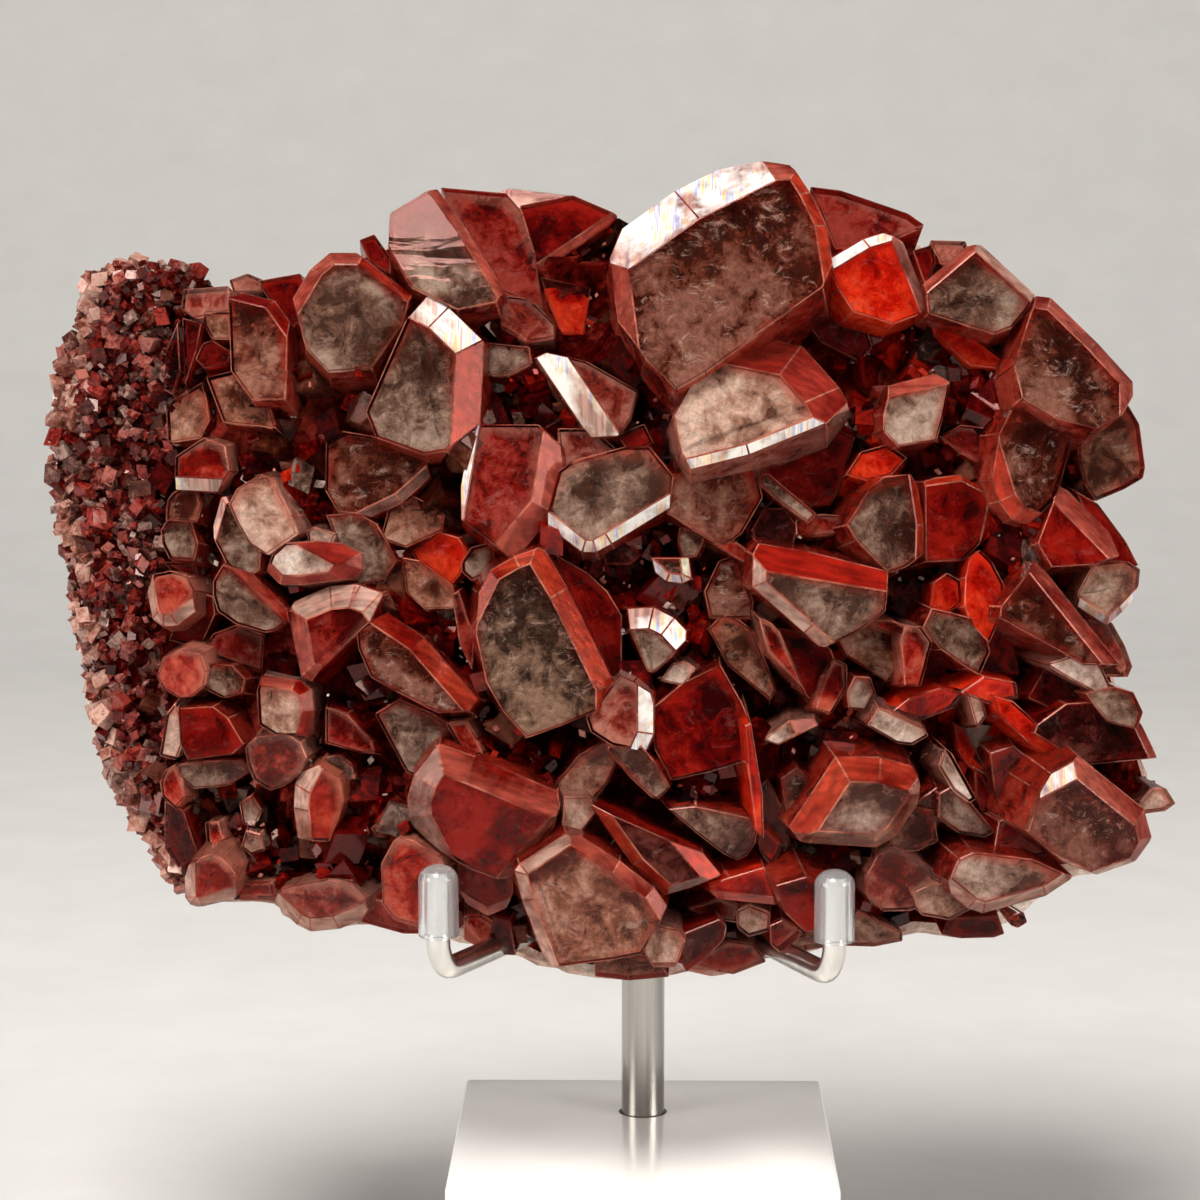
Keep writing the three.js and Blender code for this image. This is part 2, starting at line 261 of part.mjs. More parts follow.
  [12, [40, 24.5, 41, 27.2, 44, 29.4, 47, 29.6, 50.3, 29.5, 52, 27.5, 53.4, 24.6, 54.4, 22.2, 54.2,
    20.6, 50, 20.5, 46, 23, 43, 22.7], [[5, 7, 1.1, 0.8]]],
  [13, [46, 30.5, 49, 31.2, 51, 30.6, 52, 28.5, 51.4, 26.8, 48.5, 27.5], []],
  [11, [40, 30, 42, 33.5, 46, 33.8, 49, 31, 47, 28.9, 43, 28.6], []],
  [13.5, [41.8, 33.4, 44.5, 34.2, 46.4, 34.5, 47.7, 33.2, 49, 30.4, 47.5, 30, 44, 32.2], []],
  [9, [36, 30.1, 38, 29.3, 41.1, 27.2, 44.2, 23.4, 43, 22.3, 40.4, 26.2, 36.2, 28.8], []],
  [10, [32.8, 31.9, 35, 31.8, 39.2, 31, 39.2, 29.8, 36, 29.2, 34, 30.6], []],
  [9, [32.4, 27.3, 33.4, 26.8, 35.7, 22.4, 34, 22.7, 32.8, 24.5], []],
  [9.5, [25.5, 29.5, 27, 29.8, 31, 31, 32.7, 29, 30, 28.2, 27, 28.3], []],
  [9, [34.5, 22.7, 35.6, 22.1, 36.5, 20, 36.5, 18, 35.4, 17.8, 34.6, 20], []],
  [14, [30.8, 22.8, 31.4, 24.8, 32.1, 24.2, 34.7, 19.5, 34, 19, 32.3, 20.3], []],
  [13, [30.8, 20, 32, 20.7, 34, 19.2, 36.6, 16, 35.5, 15.4, 33, 15.8, 30.8, 17.4], []],
  [14, [23.3, 27, 24.5, 29, 26, 28.3, 29, 27, 29.7, 26, 28, 25, 26.4, 25.2], []],
  [12, [28.3, 19, 30.6, 20.7, 31.2, 17.5, 29.6, 14.1, 27, 14.3, 27.8, 17], []],
  [11, [36, 24.2, 38.5, 25, 41.5, 22.5, 42, 20, 41, 17.3, 37, 16.8, 36.6, 20], []],
  [12, [37, 17.2, 41.5, 18.2, 43.2, 16, 42.6, 13.8, 40, 13.2, 36.5, 14.2], []],
  [13, [28, 9.6, 30, 10.7, 33, 10.2, 34.2, 8, 32, 6.8, 29, 7.3], []],
  [9, [31.8, 7, 37, 7.2, 37.6, 5.4, 36.5, 5, 33, 4.9, 31, 5.3], []],
  [9, [38, 7.2, 39.6, 7.7, 40, 6.6, 39, 6, 38.2, 6.3], []],
  [13, [33.7, 30.6, 34.3, 31.2, 35.4, 29.5, 35.7, 28, 34.8, 26.8], []],
  // low pieces along the bottom and the border
  [10, [-5, 2.7, -2, 3, 1.5, 2.7, 2.7, 0.8, -1.5, 0.4, -5, 0.8], []],
  [9, [4, 1.9, 8, 1.3, 9.2, 1, 12.8, 2.4, 11.5, 4.2, 8.6, 4.6, 6, 3], []],
  [8, [-42.8, 8.7, -42.3, 10.4, -39, 10.6, -38.4, 8.6], []],
  [9, [-29.4, 6.4, -28.6, 9, -27, 8.6, -21.4, 7, -21.6, 5.2, -25, 5.2], []],
  [8, [20.3, 4.3, 22.4, 7.7, 24.2, 6.9, 27, 5.5, 27, 4.6, 24, 4, 21, 4.1], []],
  [8, [13.8, 3.1, 14.3, 4.2, 16.8, 5.3, 19.3, 5.6, 19.4, 4, 17, 3.6], []],
  [7.5, [-48, 62.5, -46.8, 66.2, -46.3, 69, -48.3, 69.5], []],
  [7, [-48.8, 69, -48.5, 64, -49.3, 61.5, -50.2, 62, -50, 66], []],
  [7, [-50, 60.5, -46.2, 62.8, -45.5, 59, -46.5, 57, -49.8, 56.5], []],
  [7, [-50.3, 44, -47, 44, -46.2, 41.5, -49.5, 43.2], []],
  [7, [-47, 41, -45, 40.4, -44.8, 38.5, -46.4, 35, -49.6, 35.8, -49, 37.3], []],
  [8, [-45, 36.5, -42.6, 37.4, -39.7, 36.4, -40, 32.2, -43, 33.4, -46.3, 34.4], []],
  [7, [-50, 19, -48, 18, -46.5, 13.4, -48.6, 12, -50, 14], []],
  [8, [-45.8, 16.8, -44.4, 16.9, -43.8, 15, -45, 14.2, -45.6, 14.6], []],
  [8.5, [-42, 14.2, -41.5, 16, -40, 15.6, -39.5, 13.9, -41, 13.4], []],
  [8.5, [-42.2, 18.8, -41, 19.6, -40, 18, -40.6, 16.4, -41.8, 16.6], []],
];

const pairs = (numbers) => {
  const points = [];
  for (let i = 0; i < numbers.length; i += 2) points.push(new THREE.Vector2(numbers[i], numbers[i + 1]));
  return points;
};

// A fixed sequence of numbers from 0 to 1, so that every build is the same.
function seeded(seed) {
  let state = seed;
  return () => {
    state = (state * 16807) % 2147483647;
    return state / 2147483647;
  };
}

// Solids for cutting and joining, and back to geometry.
function solid(geometry) {
  const bare = geometry.clone();
  bare.deleteAttribute('normal');
  bare.deleteAttribute('uv');
  const merged = mergeVertices(bare, 1e-4);
  return new wasm.Manifold(new wasm.Mesh({
    numProp: 3,
    vertProperties: new Float32Array(merged.attributes.position.array),
    triVerts: new Uint32Array(merged.index.array),
  }));
}

// The largest body of a shape, without loose crumbs or sealed hollows.
function wholeOf(shape) {
  return shape.decompose().reduce((best, part) => (part.volume() > best.volume() ? part : best));
}

function geometryOf(shape) {
  const mesh = shape.getMesh();
  const geometry = new THREE.BufferGeometry();
  geometry.setAttribute('position', new THREE.BufferAttribute(mesh.vertProperties, 3));
  geometry.setIndex(new THREE.BufferAttribute(mesh.triVerts, 1));
  geometry.computeVertexNormals();
  return geometry;
}

// Where the line of sight through (u, v) on the sight plane meets the plane w = height + slopes.
function seenAt(point, height, slopeU = 0, slopeV = 0, around = point) {
  const ray = new THREE.Vector3(point.x, point.y, SIGHT_PLANE).sub(EYE);
  const normal = new THREE.Vector3(-slopeU, -slopeV, 1);
  const onPlane = new THREE.Vector3(around.x, around.y, height);
  const reach = normal.dot(onPlane.sub(EYE)) / normal.dot(ray);
  return EYE.clone().addScaledVector(ray, reach);
}

const edgePoints = pairs(EDGE);

function isInside(corners, point) {
  let inside = false;
  corners.forEach((a, i) => {
    const b = corners[(i + 1) % corners.length];
    const crosses = (a.y > point.y) !== (b.y > point.y);
    if (crosses && point.x < a.x + ((point.y - a.y) * (b.x - a.x)) / (b.y - a.y)) inside = !inside;
  });
  return inside;
}

// One crystal: a block cut by its face, its bevels and sides that flare towards the rock, or
// draw in where the crystal stands at the specimen's edge.
const LEAN_OUT = 0.24;
const LEAN_SPREAD = 0.1;
const HALF_WIDTH = 60;
const HALF_HEIGHT = 45;
const FLARE = 0.1;
const RIM_FLARE = -0.16;
const RIM_REACH = 1.6;
const BLOCK_SIDE = 60;

function cutBehind(block, normal, point) {
  const inward = normal.clone().normalize().negate();
  return block.trimByPlane(inward.toArray(), inward.dot(point));
}

function crystal([face, outline, bevels], random) {
  const seen = pairs(outline);
  const centre = seen.reduce((sum, p) => sum.add(p), new THREE.Vector2()).divideScalar(seen.length);
  const slopeU = (-LEAN_OUT * (centre.x - MIDDLE.x)) / HALF_WIDTH + LEAN_SPREAD * (random() * 2 - 1);
  const slopeV = (-LEAN_OUT * (centre.y - MIDDLE.y)) / HALF_HEIGHT + LEAN_SPREAD * (random() * 2 - 1);
  const corners = seen.map((p) => seenAt(p, face, slopeU, slopeV, centre));
  const up = new THREE.Vector3(-slopeU, -slopeV, 1).normalize();
  const heart = corners.reduce((sum, p) => sum.add(p), new THREE.Vector3()).divideScalar(corners.length);
  const box = new THREE.BoxGeometry(BLOCK_SIDE, BLOCK_SIDE, 2 * BLOCK_SIDE);
  let block = solid(box.translate(heart.x, heart.y, CRYSTAL_FOOT + BLOCK_SIDE));
  block = cutBehind(block, up, heart);
  corners.forEach((a, i) => {
    const b = corners[(i + 1) % corners.length];
    const out = new THREE.Vector3().subVectors(b, a).cross(up).normalize();
    if (out.dot(new THREE.Vector3().subVectors(a, heart)) < 0) out.negate();
    const middle = a.clone().add(b).multiplyScalar(0.5);
    const beyond = seen[i].clone().add(seen[(i + 1) % seen.length]).multiplyScalar(0.5);
    beyond.addScaledVector(new THREE.Vector2(out.x, out.y).normalize(), RIM_REACH);
    const flare = isInside(edgePoints, beyond) ? FLARE : RIM_FLARE;
    const bevel = bevels.find(([first, last]) => i >= first && i <= last);
    const side = out.clone().addScaledVector(up, flare);
    if (bevel) {
      const [, , width, drop] = bevel;
      block = cutBehind(block, out.clone().multiplyScalar(drop).addScaledVector(up, width),
        middle.clone().addScaledVector(out, -width));
      block = cutBehind(block, side, middle.clone().addScaledVector(up, -drop));
    } else {
      block = cutBehind(block, side, middle);
    }
  });
  return block;
}

// The bed that the crystals and the druse grow from lies a little inside the outer edge. Its core
// rises higher between the large crystals.
const BED_SHRINK = 0.968;
const BED_CORE = {
  centre: new THREE.Vector2(2, 42), shrink: new THREE.Vector2(0.74, 0.84), top: 7.5,
};
const FAR_LEFT = -80;
const FAR_TOP = 80;
const FAR_OUT = 40;
const bedOutline = edgePoints.map((p) => p.clone().sub(MIDDLE).multiplyScalar(BED_SHRINK).add(MIDDLE));
const coreOutline = edgePoints.map((p) => {
  const { centre, shrink } = BED_CORE;
  return p.clone().sub(centre).multiply(shrink).add(centre);
});
const DRUSE = {
  left: -63, right: -46, bottom: 9, top: 77, step: 4.1, size: 3.6, spread: 1, shear: 0.22,
  bedTop: 3.4, lift: 1.8, rimWidth: 3, rimDrop: 1.6,
};

// Everything left of the border, moved right by shift.
function druseSide(shift) {
  const border = pairs(DRUSE_BORDER).map((p) => new THREE.Vector2(p.x + shift, p.y));
  return [...border, new THREE.Vector2(FAR_LEFT, 0), new THREE.Vector2(FAR_LEFT, FAR_TOP)];
}

function standing(corners, bottom, top) {
  const shape = new THREE.Shape(corners);
  const geometry = new THREE.ExtrudeGeometry(shape, { depth: top - bottom, bevelEnabled: false });
  return solid(geometry.translate(0, 0, bottom));
}

// Small rhombs stand all over the druse, lower towards the specimen's edge.
function rhomb(size, random) {
  const geometry = new THREE.BoxGeometry(size, size, size);
  const shear = new THREE.Matrix4().makeShear(DRUSE.shear, 0, 0, DRUSE.shear, 0, 0);
  const turn = new THREE.Euler(random() * Math.PI, random() * Math.PI, random() * Math.PI);
  return geometry.applyMatrix4(shear).applyMatrix4(new THREE.Matrix4().makeRotationFromEuler(turn));
}

function druse() {
  const random = seeded(71);
  const reach = druseSide(1);
  const pieces = [standing(bedOutline, GAP, DRUSE.bedTop)];
  for (let v = DRUSE.bottom; v < DRUSE.top; v += DRUSE.step) {
    for (let u = DRUSE.left; u < DRUSE.right; u += DRUSE.step) {
      const at = new THREE.Vector2(u + random() * DRUSE.step, v + random() * DRUSE.step);
      const size = DRUSE.size + DRUSE.spread * (random() - 0.5);
      const rim = new THREE.Vector2(at.x - DRUSE.rimWidth, at.y);
      const outside = new THREE.Vector2(at.x - size / 2, at.y);
      const lift = DRUSE.bedTop + DRUSE.lift * random() - (isInside(edgePoints, rim) ? 0 : DRUSE.rimDrop);
      if (isInside(edgePoints, outside) && isInside(reach, at)) {
        const spot = seenAt(at, lift);
        pieces.push(solid(rhomb(size, random).translate(spot.x, spot.y, spot.z)));
      }
    }
  }
  return wasm.Manifold.union(pieces).intersect(standing(druseSide(-GAP), GAP, FAR_OUT));
}

// The rock: a turned profile whose every spoke is stretched to one point of the outer edge. Its
// front is flat under the crystals, its back is lumpy, and it shows as a pale rim.
const ROCK_PROFILE = [[0, 0], [0.985, 0], [1, -1.6], [0.97, -4.6], [0.84, -7.4], [0.5, -8.8], [0, -9]];
const ROCK = { rimAbove: 0.972, rimBelow: 0.998, lump: 0.75, jitter: 0.05, thinBelow: 12, thin: 0.55 };

const lumpAt = ({ x, y }) => ROCK.lump * (
  Math.sin(0.23 * x + 0.12 * y) + Math.sin(0.19 * y - 0.14 * x + 2) + 0.7 * Math.sin(0.34 * x + 0.37 * y + 1)
);

function matrix() {
  const random = seeded(29);
  const profile = ROCK_PROFILE.map(([reach, w]) => new THREE.Vector2(reach, w));
  const geometry = new THREE.LatheGeometry(profile, edgePoints.length);
  const position = geometry.attributes.position;
  const rows = profile.length;
  const bareRim = (corner) => corner.y < ROCK.thinBelow || corner.x < DRUSE_BORDER[0];
  edgePoints.forEach((corner, spoke) => {
    const rim = bareRim(corner) ? ROCK.rimBelow : ROCK.rimAbove;
    const thin = corner.y < ROCK.thinBelow ? ROCK.thin : 1;
    profile.forEach(({ x: reach, y: w }, row) => {
      const onBack = row > 2 && row < rows - 1;
      const share = reach * rim + (onBack ? ROCK.jitter * (random() - 0.5) : 0);
      const at = corner.clone().sub(MIDDLE).multiplyScalar(share).add(MIDDLE);
      const depth = w * THREE.MathUtils.lerp(1, thin, reach) + (onBack ? lumpAt(at) : 0);
      const spot = row > 0 && row < rows - 1 ? seenAt(at, depth) : new THREE.Vector3(at.x, at.y, depth);
      position.setXYZ(spoke * rows + row, spot.x, spot.y, spot.z);
    });
  });
  for (let row = 0; row < rows; row += 1) {
    const last = edgePoints.length * rows + row;
    position.setXYZ(last, position.getX(row), position.getY(row), position.getZ(row));
  }
  return solid(geometry);
}

// The stand. The wire is 3/32 inch and the post 3/16 inch stock.
const BASE = { side: 41, height: 19, chamfer: 0.5 };
const POST = { radius: 2.38, y: 7.5, depth: 9, top: 41.2, sides: 24 };
const HUB = { radius: 4, bottom: 41.5, top: 48.5 };
const WIRE = { radius: 1.19, halfSides: 4, steps: 13, tension: 0.25 };
const SLEEVE = {
  outer: 2.05, bore: 1.5, length: 7.4, wall: 0.6, overlap: 6.6, sides: 10, dome: 0.8, domeSteps: 3,
};
const PRONGS = { left: [-20.7, -24.5, 42.8], right: [19.3, -24.5, 42.4], rise: 10.4, bend: 2.8, ease: 0.3 };
const ARM_START = { height: 44.8, spread: 38 };
const BACK = [
  [0, 9.6, 48.95], [0, 9.9, 50.6], [0, 12.2, 54.6], [0, 16.6, 63], [0, 18.4, 78], [0, 17.2, 87], [0, 11.6, 93.6],
];

function wire(points, radius = WIRE.radius) {
  const route = new THREE.CatmullRomCurve3(points, false, 'catmullrom', WIRE.tension);
  const section = new THREE.Shape();
  section.absarc(0, 0, radius, 0, Math.PI * 2);
  return new THREE.ExtrudeGeometry(section, {
    steps: WIRE.steps, curveSegments: WIRE.halfSides, bevelEnabled: false, extrudePath: route,
  });
}

// A front arm leaves the hub, runs out under the specimen, and turns up into a prong.
function armPoints([x, y, z]) {
  const side = Math.sign(x);
  const turn = THREE.MathUtils.degToRad(ARM_START.spread);
  const start = new THREE.Vector3(side * Math.sin(turn), -Math.cos(turn), 0).multiplyScalar(HUB.radius + GAP);
  start.add(new THREE.Vector3(0, POST.y, ARM_START.height));
  const corner = new THREE.Vector3(x, y, z);
  const back = start.clone().sub(corner).normalize();
  const tip = new THREE.Vector3(x, y, z + PRONGS.rise);
  const bendIn = corner.clone().addScaledVector(back, PRONGS.bend);
  const ease = PRONGS.bend * PRONGS.ease;
  const bendMiddle = corner.clone().addScaledVector(back, ease).setZ(z + ease);
  const bendOut = new THREE.Vector3(x, y, z + PRONGS.bend);
  return [start, start.clone().lerp(bendIn, 0.5), bendIn, bendMiddle, bendOut, tip];
}

// A clear sleeve with a domed end, slipped over a wire's tip and pointing along direction.
function sleeve(tip, direction) {
  const profile = [new THREE.Vector2(SLEEVE.bore, 0), new THREE.Vector2(SLEEVE.outer, 0)];
  for (let i = 0; i < SLEEVE.domeSteps; i += 1) {
    const angle = (i / SLEEVE.domeSteps) * (Math.PI / 2);
    const below = SLEEVE.outer * SLEEVE.dome * (1 - Math.sin(angle));
    profile.push(new THREE.Vector2(SLEEVE.outer * Math.cos(angle), SLEEVE.length - below));
  }
  profile.push(new THREE.Vector2(0, SLEEVE.length));
  profile.push(new THREE.Vector2(0, SLEEVE.length - SLEEVE.wall));
  profile.push(new THREE.Vector2(SLEEVE.bore, SLEEVE.length - SLEEVE.wall));
  profile.push(new THREE.Vector2(SLEEVE.bore, 0));
  const geometry = new THREE.LatheGeometry(profile, SLEEVE.sides);
  const turn = new THREE.Quaternion().setFromUnitVectors(new THREE.Vector3(0, 1, 0), direction);
  const start = tip.clone().addScaledVector(direction, -SLEEVE.overlap);
  return geometry.applyQuaternion(turn).translate(start.x, start.y, start.z);
}

function upright(radius, bottom, top) {
  const geometry = new THREE.CylinderGeometry(radius, radius, top - bottom, POST.sides).rotateX(Math.PI / 2);
  return geometry.translate(0, POST.y, (top + bottom) / 2);
}

function baseBlock() {
  const half = BASE.side / 2 - BASE.chamfer;
  const corners = [[-half, -half], [half, -half], [half, half], [-half, half]];
  const square = new THREE.Shape(corners.map(([x, y]) => new THREE.Vector2(x, y)));
  const geometry = new THREE.ExtrudeGeometry(square, {
    depth: BASE.height - 2 * BASE.chamfer, bevelEnabled: true, bevelSegments: 1,
    bevelSize: BASE.chamfer, bevelThickness: BASE.chamfer,
  });
  const hole = upright(POST.radius + GAP, BASE.height - POST.depth - GAP, BASE.height + 1);
  return geometryOf(solid(geometry.translate(0, 0, BASE.chamfer)).subtract(solid(hole)));
}

// Materials, as the photograph shows them.
function surface(color, roughness, metalness) {
  return new THREE.MeshStandardMaterial({ color, roughness, metalness });
}

const CALCITE = surface(0x9c4a3e, 0.25, 0);
const DRUSE_CALCITE = surface(0x8a4a45, 0.4, 0);
const ROCK_STONE = surface(0xd9b9a6, 0.85, 0);
const ACRYLIC = surface(0xe9e6e0, 0.12, 0);
const STEEL = surface(0xb9b8b4, 0.35, 1);
const VINYL = surface(0xdfe2e4, 0.2, 0);

const object = new THREE.Group();

function place(name, geometry, material) {
  const mesh = new THREE.Mesh(geometry, material);
  mesh.name = name;
  object.add(mesh);
}

const frontLeft = armPoints(PRONGS.left);
const frontRight = armPoints(PRONGS.right);
const backArm = BACK.map((point) => new THREE.Vector3(...point));
const ARMS = { left: frontLeft, right: frontRight, back: backArm };

place('base_block', baseBlock(), ACRYLIC);
place('post', upright(POST.radius, BASE.height - POST.depth, POST.top), STEEL);
place('hub', upright(HUB.radius, HUB.bottom, HUB.top), STEEL);
Object.entries(ARMS).forEach(([side, points]) => {
  const tip = points[points.length - 1];
  const direction = tip.clone().sub(points[points.length - 2]).normalize();
  place(`arm_${side}`, wire(points), STEEL);
  place(`sleeve_${side}`, sleeve(tip, direction), VINYL);
});

// The specimen, joined and cut in its own frame, then leaned back on the stand.
const random = seeded(11);
const grown = CRYSTALS.map((entry) => crystal(entry, random));
const bed = [standing(bedOutline, GAP, BED_TOP), standing(coreOutline, GAP, BED_CORE.top)];
const crystals = wasm.Manifold.union([...bed, ...grown])
  .subtract(standing(druseSide(0), -FAR_OUT, FAR_OUT));

const SPECIMEN = [
  ['matrix', matrix(), ROCK_STONE],
  ['calcite_crystals', crystals, CALCITE],
  ['calcite_druse', druse(), DRUSE_CALCITE],
];
// Edges shorter than this melt away.
const SMALLEST = 0.3;
const clearances = ['left', 'right'].map((side) => {
  const room = wire(ARMS[side], WIRE.radius + GAP);
  return solid(room.applyMatrix4(SLAB_FRAME.clone().invert()));
});
SPECIMEN.forEach(([name, shape, material]) => {
  const cleared = clearances.reduce((rest, clearance) => rest.subtract(clearance), shape);
  place(name, geometryOf(wholeOf(cleared.simplify(SMALLEST))).applyMatrix4(SLAB_FRAME), material);
});

export default object;
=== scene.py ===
# Red calcite crystals on their matrix, held upright by a wire stand on an acrylic block.
import bpy
import bmesh
import itertools
import math
from mathutils import Euler, Matrix, Vector, noise


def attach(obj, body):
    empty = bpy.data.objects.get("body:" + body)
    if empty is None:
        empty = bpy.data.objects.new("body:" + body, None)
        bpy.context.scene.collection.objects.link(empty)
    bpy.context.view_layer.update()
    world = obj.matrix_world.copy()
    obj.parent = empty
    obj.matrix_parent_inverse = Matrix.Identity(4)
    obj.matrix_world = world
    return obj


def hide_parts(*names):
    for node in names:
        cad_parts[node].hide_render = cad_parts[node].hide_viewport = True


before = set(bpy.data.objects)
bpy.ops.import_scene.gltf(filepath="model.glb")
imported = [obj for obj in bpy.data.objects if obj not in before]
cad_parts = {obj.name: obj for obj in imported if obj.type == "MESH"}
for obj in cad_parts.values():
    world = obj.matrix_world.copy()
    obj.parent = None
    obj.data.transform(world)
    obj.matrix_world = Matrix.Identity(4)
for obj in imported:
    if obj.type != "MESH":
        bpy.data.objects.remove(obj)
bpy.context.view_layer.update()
scene = bpy.context.scene

# The stone leans back on its stand. Its shapes are made in its own frame, in millimetres: u runs
# right, v up the slab, w out of it towards the viewer. Outlines are given as they look from the
# eye on the plane w = sightPlane.
slab = {
    "lean": math.radians(8),
    "foot": (0, -7.4, 38.15),
    "eye": (0, -349.5, 124),
    "sightPlane": 8,
    "middle": (-4, 42),
    "gap": 0.3,
    "bedTop": 4.6,
}
leanSine, leanCosine = math.sin(slab["lean"]), math.cos(slab["lean"])
slabFrame = Matrix((
    (1, 0, 0, slab["foot"][0]),
    (0, leanSine, -leanCosine, slab["foot"][1]),
    (0, leanCosine, leanSine, slab["foot"][2]),
    (0, 0, 0, 1),
))
toMetres = Matrix.Scale(0.001, 4)
fromMetres = toMetres.inverted()
eye = slabFrame.inverted() @ Vector(slab["eye"])
middle = Vector(slab["middle"])

# The stone's outer edge, clockwise from the left.
edgeNumbers = [
    -62.2, 57, -62, 62.5, -60.9, 66.5, -59.7, 68, -59.2, 73.6, -55, 75.6, -52, 75.5, -48, 75, -45.8, 73.4,
    -41.5, 74, -37, 74.5, -32.5, 76.6, -27.5, 78.4, -26.3, 80.6, -21.8, 83.2, -14.2, 82.8, -7.5, 82.2,
    -2.6, 80.4, 0, 82, 5, 84.6, 9, 86.3, 13, 86.5, 15.2, 86, 17.6, 83.1, 22, 82.4, 27.5, 80.4, 30, 77.8,
    35.2, 77.3, 38.2, 74.6, 40.8, 72.3, 43.3, 71.8, 47.6, 67.4, 51.2, 63.8, 51.4, 58.5, 51.9, 54, 51.6, 52.6,
    48.2, 50.4, 49.6, 47, 51.5, 43.5, 51.2, 40.2, 49.8, 38, 50.8, 33.8, 50.8, 31.6, 53.1, 24.8, 54.1, 21.6,
    54.6, 19.2, 53, 17.4, 53.2, 15.2, 52, 13.2, 48, 11.7, 45, 11.4, 42.2, 9.3, 39, 6.4, 36.5, 5.4, 33, 4.9,
    29.5, 5.2, 26.5, 4.6, 24, 3.8, 20.8, 3.9, 17, 3.3, 14.2, 2.8, 11.2, 1.7, 8.4, 0.7, 4.5, 1, 1, 0.3,
    -3.5, 0, -8, 0.9, -11.2, 1.7, -13.5, 2.9, -18, 4, -22, 4.9, -25, 5, -30, 6, -34, 5.5, -37.2, 6.6,
    -38.8, 8.1, -44.6, 8, -47.3, 8, -48.3, 9.8, -50, 10.5, -51, 13.2, -53.6, 16.6, -55, 19, -57.2, 24,
    -58.2, 29, -59.2, 35, -60.1, 40, -60.3, 43.6, -61.6, 47, -62.3, 52,
]

# The border between the crystals and the fine druse on the left, from top to bottom.
druseBorder = [
    -48.6, 80, -49, 68, -50.6, 57, -51.3, 48, -52.8, 40, -51.6, 33, -51.2, 17, -49.2, 8, -48, 0,
]

